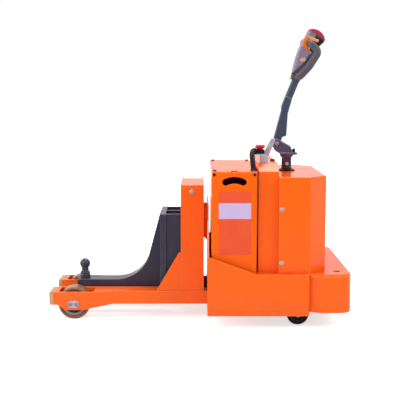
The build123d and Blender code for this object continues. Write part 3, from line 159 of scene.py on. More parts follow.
class Graph:
    """The node tree of one material or world, with its shader."""

    SHADERS = ("BSDF_PRINCIPLED", "BACKGROUND")
    SEEN_BY = ("Is Camera Ray", "Is Glossy Ray", "Is Transmission Ray")
    BEVEL_SAMPLES = 4
    BUMP_DEPTH = 0.0004
    EDGE_TURN = 0.22
    # Rise of the rounded normal that marks the painted highlight along upper edges
    HIGHLIGHT_RISE = (0.10, 0.45)

    def __init__(self, owner: bpy.types.Material | bpy.types.World) -> None:
        """Start a tree that holds only its shader and output.

        Args:
            owner: The new material or world.
        """
        owner.use_nodes = True
        self.tree = owner.node_tree
        self.shader = next(node for node in self.tree.nodes if node.type in self.SHADERS)

    def node(self, kind: str, settings: dict[str, Any], inputs: dict[Any, Any], output: Any = 0) -> Value:
        """Add a node, set it up, then fill or link its sockets.

        Args:
            kind: The node's type.
            settings: Attributes to set first.
            inputs: Content of its sockets, as for fill.
            output: Name or index of the socket to return.

        Returns:
            The node's output as a Value.
        """
        made = self.tree.nodes.new(kind)
        for key, setting in settings.items():
            setattr(made, key, setting)
        self.fill(made, inputs)
        return Value(self, made.outputs[output])

    def fill(self, node: bpy.types.Node, inputs: dict[Any, Any]) -> None:
        """Fill or link the sockets of a node.

        Args:
            node: The node.
            inputs: Socket name or index to a number, vector, colour or Value.
        """
        for key, content in inputs.items():
            socket = node.inputs[key]
            if isinstance(content, Value):
                self.tree.links.new(content.socket, socket)
            else:
                socket.default_value = (*content, 1.0) if socket.type == "RGBA" else content

    def feed(self, socket: str, content: Any) -> None:
        """Fill or link one socket of the shader."""
        self.fill(self.shader, {socket: content})

    def place(self) -> Value:
        """Object coordinates, in metres."""
        return self.node("ShaderNodeTexCoord", {}, {}, "Object")

    def part(self, vector: Value, index: int) -> Value:
        """One part of a vector: 0 is X, 1 is Y and 2 is Z."""
        return self.node("ShaderNodeSeparateXYZ", {}, {0: vector}, index)

    def axis(self, index: int) -> Value:
        """One of the object coordinates, in metres: 0 is along, 1 across, 2 the height at rest."""
        return self.part(self.place(), index)

    def face(self) -> Value:
        """Normal of the face itself."""
        return self.node("ShaderNodeNewGeometry", {}, {}, "Normal")

    def measure(self, operation: str, inputs: dict[Any, Any]) -> Value:
        """Number that a Vector Math node gives."""
        return self.node("ShaderNodeVectorMath", {"operation": operation}, inputs, 1)

    def sight(self) -> list[Value]:
        """Whether a ray comes from the camera, from a gloss and through a clear surface."""
        return [self.node("ShaderNodeLightPath", {}, {}, name) for name in self.SEEN_BY]

    def noise(self, kind: Patches) -> Value:
        """Cloudy noise with the scale, detail and stretch of patches, about 0.3 to 0.7."""
        spot = self.node("ShaderNodeMapping", {}, {"Vector": self.place(), "Scale": kind.stretch})
        return self.node("ShaderNodeTexNoise", {}, {"Vector": spot, "Scale": kind.scale, "Detail": kind.detail})

    def span(self, value: Value, low: float, high: float) -> Value:
        """Stretch the part of a value between two levels to 0 to 1, held at its ends."""
        return self.node("ShaderNodeMapRange", {"clamp": True}, {0: value, 1: low, 2: high, 3: 0.0, 4: 1.0})

    def patches(self, kind: Patches) -> Value:
        """Soft patches, 0 to 1."""
        return self.span(self.noise(kind), kind.low, kind.high)

    def rounded(self, radius: float) -> Value:
        """Normal with the edges rounded off by a radius."""
        return self.node("ShaderNodeBevel", {"samples": self.BEVEL_SAMPLES}, {"Radius": radius})

    def edges(self, radius: float) -> Value:
        """Nearness to an edge, 0 on a flat face."""
        pair = {0: self.rounded(radius), 1: self.face()}
        return self.span(1 - self.measure("DOT_PRODUCT", pair), 0.0, self.EDGE_TURN)

    def top_edge_highlight(self, radius: float) -> Value:
        """Nearness to the upper edge of an upright face, 0 elsewhere: the mask of a painted highlight along such
        edges.
        """
        rise = self.part(self.rounded(radius), 2) - self.part(self.face(), 2)
        return self.span(rise, *self.HIGHLIGHT_RISE)

    def blend(self, share: Any, first: Any, second: Any) -> Value:
        """Mix two colours or Values by the share of the second."""
        return self.node("ShaderNodeMix", {"data_type": "RGBA"}, {0: share, 6: first, 7: second}, 2)

    def bump(self, height: Value, strength: float, rounding: float) -> None:
        """Raise the surface by a height value, over rounded edges.

        Args:
            height: Height, 0 to 1.
            strength: Share of the height that shows.
            rounding: Radius of the rounded edges, in metres; 0 leaves them sharp.
        """
        inputs: dict[Any, Any] = {"Strength": strength, "Distance": self.BUMP_DEPTH, "Height": height}
        if rounding:
            inputs["Normal"] = self.rounded(rounding)
        self.feed("Normal", self.node("ShaderNodeBump", {}, inputs))


@dataclass(frozen=True)
class Finish:
    """A finish that builds its own material."""

    name: str

    @functools.cache
    def material(self) -> bpy.types.Material:
        """Build the finish's material on first use.

        Returns:
            The material.
        """
        made = bpy.data.materials.new(self.name)
        self.paint(Graph(made))
        return made

    def paint(self, graph: Graph) -> None:
        """Set up the shader."""
        raise NotImplementedError


@dataclass(frozen=True)
class PowderCoat(Finish):
    """Sprayed and baked paint: faint mottle, orange peel, pale edges that are partly edge wear and partly painted
    highlight, a painted highlight along the upper edges of upright faces, and floor dust low down.
    """

    colour: Colour
    # Pale edge colour, partly edge wear and partly painted highlight where light catches edges
    edge: Colour
    roughness: float = 0.21
    specular: float = 0.38
    mottle: float = 0.02
    peel: float = 0.06
    dust: float = 0.14
    # Strength of the pale edges: partly wear, partly painted highlight
    wear_and_highlight: float = 0.55
    # Strength of the painted highlight along the upper edges of upright faces, in the edge colour
    lip: float = 0.60
    reach: float = 0.004
    CLOUDS = Patches(7.0, 4.0)
    EDGE_BREAKUP = Patches(38.0, 4.0, 0.28, 0.62)
    FLECKS = Patches(24.0, 5.0, 0.30, 0.72)
    DEEPEN = 2.4
    HIGHLIGHT_REACH = 0.0045
    DUST = srgb(120, 100, 84)
    DUST_Z = (0.05, 0.34)
    DUST_FALL = 1.6
    PEEL = Patches(420.0, 2.0)
    ROUNDING = 0.0022

    def paint(self, graph: Graph) -> None:
        """Set up the shader of the paint.

        Args:
            graph: The material's tree.
        """
        cloud = graph.patches(self.CLOUDS)
        deep = tuple(c * (1 - self.DEEPEN * self.mottle) for c in self.colour)
        coat = graph.blend(cloud, self.colour, deep)
        # Pale edges near every edge, broken into patches: partly edge wear, partly painted highlight
        rubbed_and_highlit = graph.edges(self.reach) * graph.patches(self.EDGE_BREAKUP) * self.wear_and_highlight
        # Painted highlight: the upper edges of upright faces take the pale edge colour, over the edge wear
        worn_and_highlit = graph.blend(graph.top_edge_highlight(self.HIGHLIGHT_REACH) * self.lip, graph.blend(rubbed_and_highlit, coat, self.edge), self.edge)
        low = 1 - graph.span(graph.axis(2), *self.DUST_Z)
        dust = low.power(self.DUST_FALL) * graph.patches(self.FLECKS) * self.dust
        graph.feed("Base Color", graph.blend(dust, worn_and_highlit, self.DUST))
        graph.feed("Roughness", cloud * 0.06 + dust * 0.5 + rubbed_and_highlit * 0.2 + (self.roughness - 0.03))
        graph.feed("Specular IOR Level", self.specular)
        graph.bump(graph.noise(self.PEEL), self.peel, self.ROUNDING)


@dataclass(frozen=True)
class Moulded(Finish):
    """Moulded plastic or rubber with a fine grain and scuffs."""

    colour: Colour
    roughness: float = 0.45
    specular: float = 0.4
    grain: float = 0.04
    scuff: float = 0.10
    rounding: float = 0.0015
    coat: float = 0.0
    mottle: float = 0.14
    CLOUDS = Patches(16.0)
    SCUFFS = Patches(60.0, 6.0, 0.54, 0.72, (1, 1, 0.35))
    PALER = (1.5, 0.03)
    BLACK = (0.0, 0.0, 0.0)
    COAT_ROUGHNESS = 0.12
    GRAIN = Patches(500.0, 2.0)

    def paint(self, graph: Graph) -> None:
        """Set up the shader of the plastic.

        Args:
            graph: The material's tree.
        """
        scuffs = graph.patches(self.SCUFFS)
        gain, lift = self.PALER
        pale = tuple(min(1.0, c * gain + lift) for c in self.colour)
        cloud = graph.patches(self.CLOUDS)
        ground = graph.blend(cloud * self.mottle, self.tint(graph), self.BLACK)
        graph.feed("Base Color", graph.blend(scuffs * self.scuff, ground, pale))
        graph.feed("Roughness", cloud * 0.08 + scuffs * 0.10 + (self.roughness - 0.04))
        graph.feed("Specular IOR Level", self.specular)
        graph.feed("Coat Weight", self.coat)
        graph.feed("Coat Roughness", self.COAT_ROUGHNESS)
        graph.bump(graph.noise(self.GRAIN), self.grain, self.rounding)

    def tint(self, graph: Graph) -> Colour | Value:
        """Colour of the plastic before its clouds and scuffs."""
        return self.colour


@dataclass(frozen=True)
class HighlitPastLine(Moulded):
    """Moulded plastic, paler past a line across the tug: a painted highlight on the part beyond it."""

    # Paler colour past the line: painted highlight
    second: Colour = (1.0, 1.0, 1.0)
    line_x: float = 0.517
    FADE = 0.003

    def tint(self, graph: Graph) -> Colour | Value:
        """Colour of the plastic, which turns to the paler painted highlight at the line."""
        past = graph.span(graph.axis(0), self.line_x - self.FADE, self.line_x + self.FADE)
        return graph.blend(past, self.colour, self.second)


@dataclass(frozen=True)
class HeadShell(Finish):
    """Tiller head: grey shell, darker soft grips outside it, near-black on the upper part of its front, and a darker
    crimson band below the cap: the cap's own crimson, painted darker as shade along its lower edge.
    """

    shell: Colour
    grip: Colour
    front: Colour
    # Darker crimson below the cap: the cap's crimson, painted darker as shade along its lower edge
    rim: Colour
    foot: Pair = (0.459, 1.105)
    tilt_deg: float = 22.0
    seam: float = 0.001
    shell_half: float = 0.0435
    front_out: float = -0.004
    front_along: float = 0.150
    sleeve_along: float = 0.085
    sleeve_slope: float = 2.0
    cuff_along: float = 0.0205
    cuff_slope: float = 0.28
    cuff_half: Pair = (0.0018, 0.0030)
    rim_along: float = 0.2328
    rim_slope: float = 0.30
    rim_seam: float = 0.0006
    shade: float = 0.8
    scuff: float = 0.10
    specular: float = 0.35
    CLOUDS = Patches(16.0)
    SCUFFS = Patches(70.0, 6.0, 0.56, 0.74)
    SCUFFED = srgb(150, 146, 150)

    def paint(self, graph: Graph) -> None:
        """Set up the shader of the head.

        Args:
            graph: The material's tree.
        """
        slope = math.radians(self.tilt_deg)
        run = graph.axis(0) - self.foot[0]
        rise = graph.axis(2) - self.foot[1]
        out = rise * math.sin(slope) - run * math.cos(slope)
        up = rise * math.cos(slope) + run * math.sin(slope)
        # Near-black on the upper part of the head's front
        front_dark = 1 - graph.span(out, self.front_out - self.seam, self.front_out)
        front_dark = front_dark * graph.span(up, self.front_along, self.front_along + self.seam)
        outside = graph.span(graph.axis(1).size(), self.shell_half, self.shell_half + self.seam)
        cloud = graph.patches(self.CLOUDS)
        shell = graph.blend(cloud * 0.5, self.shell, tuple(c * self.shade for c in self.shell))
        ends = (self.sleeve_along - self.seam, self.sleeve_along + self.seam)
        sleeve = 1 - graph.span(up + out * self.sleeve_slope, *ends)
        cuff = 1 - graph.span((up - out * self.cuff_slope - self.cuff_along).size(), *self.cuff_half)
        shell = graph.blend(cuff, graph.blend(sleeve, shell, self.grip), self.front)
        # Below the rim line the head takes the darker crimson, painted shade along the cap's lower edge
        ends = (self.rim_along, self.rim_along + self.rim_seam)
        below = (1 - graph.span(up, *ends)) * (1 - graph.span(up - out * self.rim_slope, *ends))
        shell = graph.blend(below, self.rim, graph.blend(front_dark, shell, self.front))
        colour = graph.blend(outside, shell, self.grip)
        scuffs = graph.patches(self.SCUFFS)
        graph.feed("Base Color", graph.blend(scuffs * self.scuff, colour, self.SCUFFED))
        graph.feed("Roughness", outside * 0.16 + cloud * 0.06 + scuffs * 0.08 + 0.36)
        graph.feed("Specular IOR Level", self.specular)


@dataclass(frozen=True)
class Metal(Finish):
    """Bare or plated metal with fine machining streaks."""

    colour: Colour
    roughness: float = 0.32
    metallic: float = 1.0
    STREAKS = Patches(70.0, 5.0, stretch=(1.0, 1.0, 14.0))
    STAINS = Patches(28.0, 4.0, 0.50, 0.72)
    SHADE = 0.72
    GROOVE = 0.06
    ROUNDING = 0.001

    def paint(self, graph: Graph) -> None:
        """Set up the shader of the metal.

        Args:
            graph: The material's tree.
        """
        streaks = graph.patches(self.STREAKS)
        stain = graph.patches(self.STAINS)
        dull = tuple(c * self.SHADE for c in self.colour)
        graph.feed("Base Color", graph.blend(stain * 0.5 + streaks * 0.2, self.colour, dull))
        graph.feed("Metallic", self.metallic)
        graph.feed("Roughness", streaks * 0.12 + stain * 0.10 + (self.roughness - 0.06))
        graph.bump(streaks, self.GROOVE, self.ROUNDING)


class Finishes(Enum):
    """Every finish on the tug."""

    ORANGE = PowderCoat("orange_coat", srgb(250, 99, 4), srgb(255, 168, 112))
    MATT = PowderCoat("matt_coat", srgb(250, 92, 10), srgb(255, 150, 96), roughness=0.75, specular=0.04)
    BATTERY = PowderCoat("battery_coat", srgb(250, 98, 0), srgb(255, 160, 90), specular=0.25)
    SLATE = PowderCoat("slate_coat", srgb(64, 75, 97), srgb(130, 138, 164), roughness=0.32, wear_and_highlight=0.4, dust=0.0)
    # Yoke: slate paint with strong, wide pale edges, a painted highlight along its chamfered upper edge
    YOKE = PowderCoat("yoke_coat", srgb(77, 77, 102), srgb(146, 144, 170), roughness=0.32, wear_and_highlight=0.9, reach=0.008)
    # Brim lip: a paler copy of the slate paint, painted highlight where light falls on the lip
    BRIM_HIGHLIT = PowderCoat("brim_highlit_coat", srgb(120, 120, 146), srgb(158, 156, 182), roughness=0.30)
    COLUMN = PowderCoat("column_coat", srgb(66, 56, 62), srgb(120, 108, 116), roughness=0.35)
    # Hitch: dark paint with stronger pale edges, partly painted highlight on the carriage's edges
    HITCH = PowderCoat("hitch_coat", srgb(57, 57, 77), srgb(142, 136, 164), roughness=0.30, specular=0.5, wear_and_highlight=0.65)
    STEEL = Metal("machined_steel", srgb(168, 168, 170))
    ZINC = Metal("zinc_plate", srgb(214, 206, 216), roughness=0.36, metallic=0.4)
    CAST = PowderCoat("cast_enamel", srgb(44, 43, 45), srgb(96, 94, 96), roughness=0.5, peel=0.2, wear_and_highlight=0.3)
    BOLT = Metal("phosphate_bolt", srgb(166, 156, 174), roughness=0.40, metallic=0.4)
    ALLOY = Metal("cast_alloy", srgb(158, 148, 150), roughness=0.45, metallic=0.4)
    URETHANE = Moulded("tread_urethane", srgb(142, 88, 60), roughness=0.30, specular=0.6, scuff=0.2, coat=0.35)
    RUBBER = Moulded("black_rubber", srgb(30, 29, 29), roughness=0.55, scuff=0.3)
    BUFFER = Moulded("buffer_urethane", srgb(194, 156, 108), scuff=0.3)
    BLACK = Moulded("black_nylon", srgb(24, 24, 26), roughness=0.42)
    HOSE = Moulded("conduit_nylon", srgb(38, 36, 36), roughness=0.5)
    # Head: shell, grips, near-black front, and the darker crimson painted as shade below the cap
    HEAD = HeadShell("head_shell", srgb(144, 137, 160), srgb(84, 78, 86), srgb(34, 32, 36), srgb(158, 24, 54))
    CRIMSON = Moulded("crimson_cap", srgb(194, 38, 70), roughness=0.26, specular=0.5, grain=0.0, rounding=0.0)
    STOP = Moulded("stop_red", srgb(210, 22, 28), roughness=0.26, grain=0.03)
    # Throttle wings: orange, paler peach past the line, a painted highlight on the bar's lit top
    WING = HighlitPastLine("wing_orange", srgb(244, 118, 22), roughness=0.30, grain=0.0, rounding=0.0,
                   second=srgb(246, 168, 112))
    PEACH = Moulded("peach_button", srgb(236, 172, 140), roughness=0.34, grain=0.0)
    CASE = Moulded("cell_case", srgb(40, 40, 43), roughness=0.5)
    FILM = Moulded("label_film", srgb(230, 84, 46), roughness=0.40, specular=0.2, grain=0.02, scuff=0.03, mottle=0.05)
    BAND = Moulded("label_band", srgb(198, 176, 216), roughness=0.42, specular=0.2, grain=0.02, scuff=0.05,
                   mottle=0.04)


# Finish of each slot of the record
NODE_FINISH: dict[str, Finishes] = {
    "orange_paint": Finishes.ORANGE,
    "battery_paint": Finishes.BATTERY,
    "slate_paint": Finishes.SLATE,
    "hitch_paint": Finishes.HITCH,
    "bare_steel": Finishes.STEEL,
    "zinc": Finishes.ZINC,
    "cast": Finishes.CAST,
    "tyre_pu": Finishes.URETHANE,
    "tyre_black": Finishes.RUBBER,
    "buffer": Finishes.BUFFER,
    "black_plastic": Finishes.BLACK,
    "grip_plastic": Finishes.HEAD,
    "red_plastic": Finishes.CRIMSON,
    "stop_red": Finishes.STOP,
    "orange_plastic": Finishes.WING,
    "battery_case": Finishes.CASE,
    "hub_grey": Finishes.ALLOY,
}

# Nodes that don't take their slot's finish
OWN_FINISH: dict[str, Finishes] = {
    "mast_link": Finishes.MATT,
    "steering_column": Finishes.COLUMN,
    "tiller_yoke": Finishes.YOKE,
}


def dress(piece: Piece, finish: Finishes) -> None:
    """Give a whole piece one finish.

    Args:
        piece: Mesh object.
        finish: Its finish.
    """
    piece.data.materials.clear()
    piece.data.materials.append(finish.value.material())
    for face in piece.data.polygons:
        face.material_index = 0


class Pick(Enum):
    """What a test on a mesh selects."""

    EDGES = 1
    FACES = 2


@dataclass(frozen=True)
class Fastener:
    """Head of a screw or bolt with its washer, in metres."""

    head_r: float
    head_h: float
    washer_r: float
    socket_r: float = 0.0
    sides: int = 28
    washer_h: float = 0.0015
    HEX = 6
    HEX_RIM = 0.18
    ROUND_RIM = 0.5
    WASHER_RIM = 0.35
    SOCKET_FLOOR = 0.45


class Trim:
    """Trim of one sub-assembly: a primitive is added, shaped with operators, then hung on a body."""

    SMOOTH_DEG = 35.0

    def build(self) -> None:
        """Make and hang all of it."""
        raise NotImplementedError

    @staticmethod
    def choose(*pieces: Piece) -> None:
        """Select pieces and nothing else.

        Args:
            pieces: The pieces; the first one is made active.
        """
        bpy.ops.object.select_all(action="DESELECT")
        for piece in pieces:
            piece.select_set(True)
        bpy.context.view_layer.objects.active = pieces[0]

    @staticmethod
    def settle(name: str) -> Piece:
        """Name the new object and put its place, turn and scale into its mesh.

        Args:
            name: Its name.

        Returns:
            The object.
        """
        bpy.context.object.name = name
        bpy.ops.object.transform_apply(location=True, rotation=True, scale=True)
        return bpy.context.object

    def drum(self, name: str, radius: float, depth: float, sides: int = 28, base: float = 0.0,
             caps: str = "NGON") -> Piece:
        """Add a cylinder round the Z axis.

        Args:
            name: Piece's name.
            radius: Radius to its corners.
            depth: Height.
            sides: Sides round it.
            base: Height of its foot.
            caps: End fill, "NGON" or "NOTHING".

        Returns:
            The new object.
        """
        bpy.ops.mesh.primitive_cylinder_add(
            vertices=sides, radius=radius, depth=depth, end_fill_type=caps, location=(0, 0, base + depth / 2)
        )
        return self.settle(name)

    def block(self, name: str, size: Triple, base: float = 0.0) -> Piece:
        """Add a box over the origin, with its foot at a height."""
        bpy.ops.mesh.primitive_cube_add(size=1.0, location=(0, 0, base + size[2] / 2), scale=size)
        return self.settle(name)

    @contextmanager
    def picked(self, piece: Piece, kind: Pick, test: Test) -> Iterator[None]:
        """Edit a mesh with some faces or edges selected.

        Args:
            piece: Mesh object.
            kind: Faces or edges.
            test: Takes a face's centre and normal, or an edge's middle and direction.

        Yields:
            Nothing, in edit mode.
        """
        self.choose(piece)
        mesh = piece.data
        for group in (mesh.vertices, mesh.edges, mesh.polygons):
            group.foreach_set("select", [False] * len(group))
        if kind is Pick.FACES:
            for face in mesh.polygons:
                face.select = test(face.center, face.normal)
        else:
            for edge in mesh.edges:
                first, last = (mesh.vertices[index].co for index in edge.vertices)
                edge.select = test((first + last) / 2, (last - first).normalized())
        bpy.context.tool_settings.mesh_select_mode = (False, kind is Pick.EDGES, kind is Pick.FACES)
        bpy.ops.object.mode_set(mode="EDIT")
        yield
        bpy.ops.object.mode_set(mode="OBJECT")

    def soften(self, piece: Piece, width: float, segments: int, test: Test) -> None:
        """Bevel the edges that pass a test on their middle and direction."""
        with self.picked(piece, Pick.EDGES, test):
            bpy.ops.mesh.bevel(offset=width, segments=segments, affect="EDGES")

    def sink(self, piece: Piece, rim: float, depth: float) -> None:
        """Sink the top face inside a rim."""
        with self.picked(piece, Pick.FACES, upward):
            bpy.ops.mesh.inset(thickness=rim, depth=-depth)

    def apply(self, piece: Piece, kind: str, **settings: Any) -> None:
        """Add one modifier and apply it.

        Args:
            piece: Mesh object.
            kind: The modifier's type.
            settings: Its settings.
        """
        modifier = piece.modifiers.new("step", kind)
        for key, setting in settings.items():
            setattr(modifier, key, setting)
        self.choose(piece)
        bpy.ops.object.modifier_apply(modifier="step")

    def cut(self, piece: Piece, cutter: Piece) -> None:
        """Take one solid out of another."""
        self.apply(piece, "BOOLEAN", object=cutter, operation="DIFFERENCE", solver="EXACT")
        bpy.data.objects.remove(cutter)

    def join(self, name: str, pieces: Sequence[Piece]) -> Piece:
        """Make one piece of several.

        Args:
            name: Its name.
            pieces: The pieces.

        Returns:
            The first piece, with the others in it.
        """
        self.choose(*pieces)
        bpy.ops.object.join()
        pieces[0].name = name
        return pieces[0]

    @staticmethod
    def shift(piece: Piece, place: Sequence[float], up: Sequence[float] = UP, spin_deg: float = 0.0) -> Piece:
        """Move a piece's mesh so that its foot stands on a place and its Z axis points up there.

        Args:
            piece: Piece modelled on the origin.
            place: New place of the origin.
            up: New direction of the Z axis.
            spin_deg: Turn about the Z axis first, in degrees.

        Returns:
            The same piece.
        """
        turn = Vector(UP).rotation_difference(Vector(up)).to_matrix().to_4x4()
        spin = Matrix.Rotation(math.radians(spin_deg), 4, "Z")
        piece.data.transform(Matrix.Translation(place) @ turn @ spin)
        return piece

    def set_out(self, name: str, master: Piece, spots: Sequence[Spot], first_deg: float = 0.0,
                turn_deg: float = 23.0) -> Piece:
        """Copy a master, which goes away, to several spots.

        Args:
            name: The new piece's name.
            master: Piece modelled on the origin.
            spots: Places with the directions that point up there.
            first_deg: Turn of the first copy, in degrees.
            turn_deg: Turn of each copy from the one before.

        Returns:
            The copies as one piece.
        """
        copies = []
        for index, (place, up) in enumerate(spots):
            copy = master.copy()
            copy.data = master.data.copy()
            bpy.context.scene.collection.objects.link(copy)
            copies.append(self.shift(copy, place, up, first_deg + turn_deg * index))
        bpy.data.objects.remove(master)
        return self.join(name, copies)

    def head(self, kind: Fastener) -> Piece:
        """Model a fastener's head with its washer, standing on the origin.

        Args:
            kind: The fastener.

        Returns:
            The head.
        """
        head = self.drum("head", kind.head_r, kind.head_h, kind.sides, kind.washer_h)
        rim, steps = (kind.HEX_RIM, 1) if kind.sides == kind.HEX else (kind.ROUND_RIM, 3)
        self.soften(head, rim * kind.head_h, steps, topmost(kind.washer_h + kind.head_h))
        if kind.socket_r:
            floor = kind.washer_h + kind.SOCKET_FLOOR * kind.head_h
            self.cut(head, self.drum("socket", kind.socket_r, kind.head_h, kind.HEX, floor))
        washer = self.drum("washer", kind.washer_r, kind.washer_h)
        self.soften(washer, kind.WASHER_RIM * kind.washer_h, 1, topmost(kind.washer_h))
        return self.join("head", [head, washer])

    def keep(self, piece: Piece, finish: Finishes, slot: str, body: str = "chassis") -> None:
        """Finish a piece and hang it on its body.

        Args:
            piece: The piece, in place.
            finish: Its finish.
            slot: Slot of the record; not used.
            body: Body that it moves with.
        """
        self.choose(piece)
        bpy.ops.object.shade_smooth_by_angle(angle=math.radians(self.SMOOTH_DEG))
        dress(piece, finish)
        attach(piece, body)
        LOG.info("made %s on %s", piece.name, body)

    def fasten(self, name: str, kind: Fastener, spots: Sequence[Spot], finish: Finishes = Finishes.ZINC,
               slot: str = "zinc", body: str = "chassis") -> None:
        """Set fasteners on their spots, as one piece."""
        self.keep(self.set_out(name, self.head(kind), spots), finish, slot, body)


@dataclass(frozen=True)
class Sheet:
    """A blank sheet of the label, in metres."""

    name: str
    z: Pair
    thick: float
    corner: float
    finish: Finishes


@dataclass
class BatteryTrim(Trim):
    """Screws, finger tab, blank label and conduit of the battery box, in metres."""

    lid_head: Fastener = Fastener(0.0075, 0.004, washer_r=0.0095, socket_r=0.0034)
    lid_screw_x: Pair = (0.077, 0.250)
    lid_screw_y: float = 0.288
    side_head: Fastener = Fastener(0.0056, 0.0035, washer_r=0.0068, socket_r=0.0026)
    side_screw_x: Pair = (0.0745, 0.2525)
    side_screw_z: float = 0.6925
    tab_size: Triple = (0.030, 0.012, 0.0028)
    tab_corner: float = 0.0045
    tab_dish: Pair = (0.0016, 0.0012)
    tab_inset: float = 0.009
    label_x: Pair = (0.095, 0.238)
    film: Sheet = Sheet("label_film", (0.335, 0.618), 0.0004, 0.004, Finishes.FILM)
    band: Sheet = Sheet("label_band", (0.496, 0.567), 0.0008, 0.001, Finishes.BAND)
    gland_nut: Fastener = Fastener(0.0155, 0.009, washer_r=0.0165, sides=6)
    conduit_r: float = 0.0121
    conduit_pitch: float = 0.0048
    conduit_swell: float = 1.12
    conduit_sides: int = 20
    conduit_route: tuple[Triple, ...] = (
        (0.251, -0.273, 0.706),
        (0.245, -0.273, 0.748),
        (0.243, -0.260, 0.780),
        (0.251, -0.234, 0.796),
        (0.264, -0.225, 0.7885),
    )

    def build(self) -> None:
        """Make and hang all of it."""
        low, high = (Vector(corner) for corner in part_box("battery_box"))
        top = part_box("battery_lid")[1][2]
        rows = (-self.lid_screw_y, self.lid_screw_y)
        spots: list[Spot] = [((x, y, top), UP) for x in self.lid_screw_x for y in rows]
        self.fasten("lid_screws", self.lid_head, spots, Finishes.BLACK, "black_plastic")
        spots = [outward(x, y, self.side_screw_z) for x in self.side_screw_x for y in (low.y, high.y)]
        self.fasten("battery_side_screws", self.side_head, spots, Finishes.BLACK, "black_plastic")
        self.tab(((low.x + high.x) / 2, low.y + self.tab_inset, top))
        for sheet in (self.film, self.band):
            self.lay(sheet, low.y)
        self.conduit()

    def tab(self, place: Triple) -> None:
        """Make the lid's finger tab, a low dished lip on its near edge.

        Args:
            place: Middle of its foot.
        """
        piece = self.block("lid_tab", self.tab_size)
        self.soften(piece, self.tab_corner, 4, along(2))
        self.sink(piece, *self.tab_dish)
        self.keep(self.shift(piece, place), Finishes.BLACK, "black_plastic")

    def lay(self, sheet: Sheet, face: float) -> None:
        """Lay one sheet of the label on the box's near side.

        Args:
            sheet: The sheet.
            face: Y of the side.
        """
        (left, right), (foot, top) = self.label_x, sheet.z
        piece = self.block(sheet.name, (right - left, top - foot, sheet.thick))
        self.soften(piece, sheet.corner, 5, along(2))
        self.shift(piece, ((left + right) / 2, face, (foot + top) / 2), (0, -1, 0))
        self.keep(piece, sheet.finish, "battery_paint")

    def ribbed(self, length: float) -> Piece:
        """Model the conduit straight along Z, with a rib at each pitch.

        Args:
            length: Its length.

        Returns:
            The closed conduit.
        """
        count = max(2, round(length / self.conduit_pitch))
        step = length / count
        near = step / 50
        swell = self.conduit_swell
        tube = self.drum("conduit", self.conduit_r / swell, step, self.conduit_sides, caps="NOTHING")
        with self.picked(tube, Pick.EDGES, along(2)):
            bpy.ops.mesh.subdivide(number_cuts=3)
        with self.picked(tube, Pick.EDGES, lambda middle, way: abs(way.z) < LEVEL and near < middle.z < step - near):
            bpy.ops.transform.resize(value=(swell, swell, 1), center_override=(0, 0, step / 2))
        self.apply(tube, "ARRAY", count=count, use_merge_vertices=True, merge_threshold=near,
                   use_relative_offset=False, use_constant_offset=True, constant_offset_displace=(0, 0, step))
        for height in (0.0, length):
            with self.picked(tube, Pick.EDGES, lambda middle, way: abs(middle.z - height) < near):
                bpy.ops.mesh.edge_face_add()
        with self.picked(tube, Pick.FACES, lambda centre, normal: True):
            bpy.ops.mesh.normals_make_consistent(inside=False)
        return tube

    def conduit(self) -> None:
        """Make the corrugated conduit from the lid to the stop switch, with a gland at each end."""
        curve = bpy.data.curves.new("conduit_route", "CURVE")
        curve.dimensions = "3D"
        curve.resolution_u = 16
        spline = curve.splines.new("NURBS")
        spline.points.add(len(self.conduit_route) - 1)
        for point, place in zip(spline.points, self.conduit_route):
            point.co = (*place, 1.0)
        spline.order_u = 3
        spline.use_endpoint_u = True
        route = bpy.data.objects.new("conduit_route", curve)
        bpy.context.scene.collection.objects.link(route)
        tube = self.ribbed(spline.calc_length())
        self.apply(tube, "CURVE", object=route, deform_axis="POS_Z")
        bpy.data.objects.remove(route)
        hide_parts("battery_conduit")
        self.keep(tube, Finishes.HOSE, "black_plastic")
        ends = [(self.conduit_route[0], UP), (self.conduit_route[-1], (-1, 0, 0))]
        self.fasten("conduit_glands", self.gland_nut, ends, Finishes.BLACK, "black_plastic")


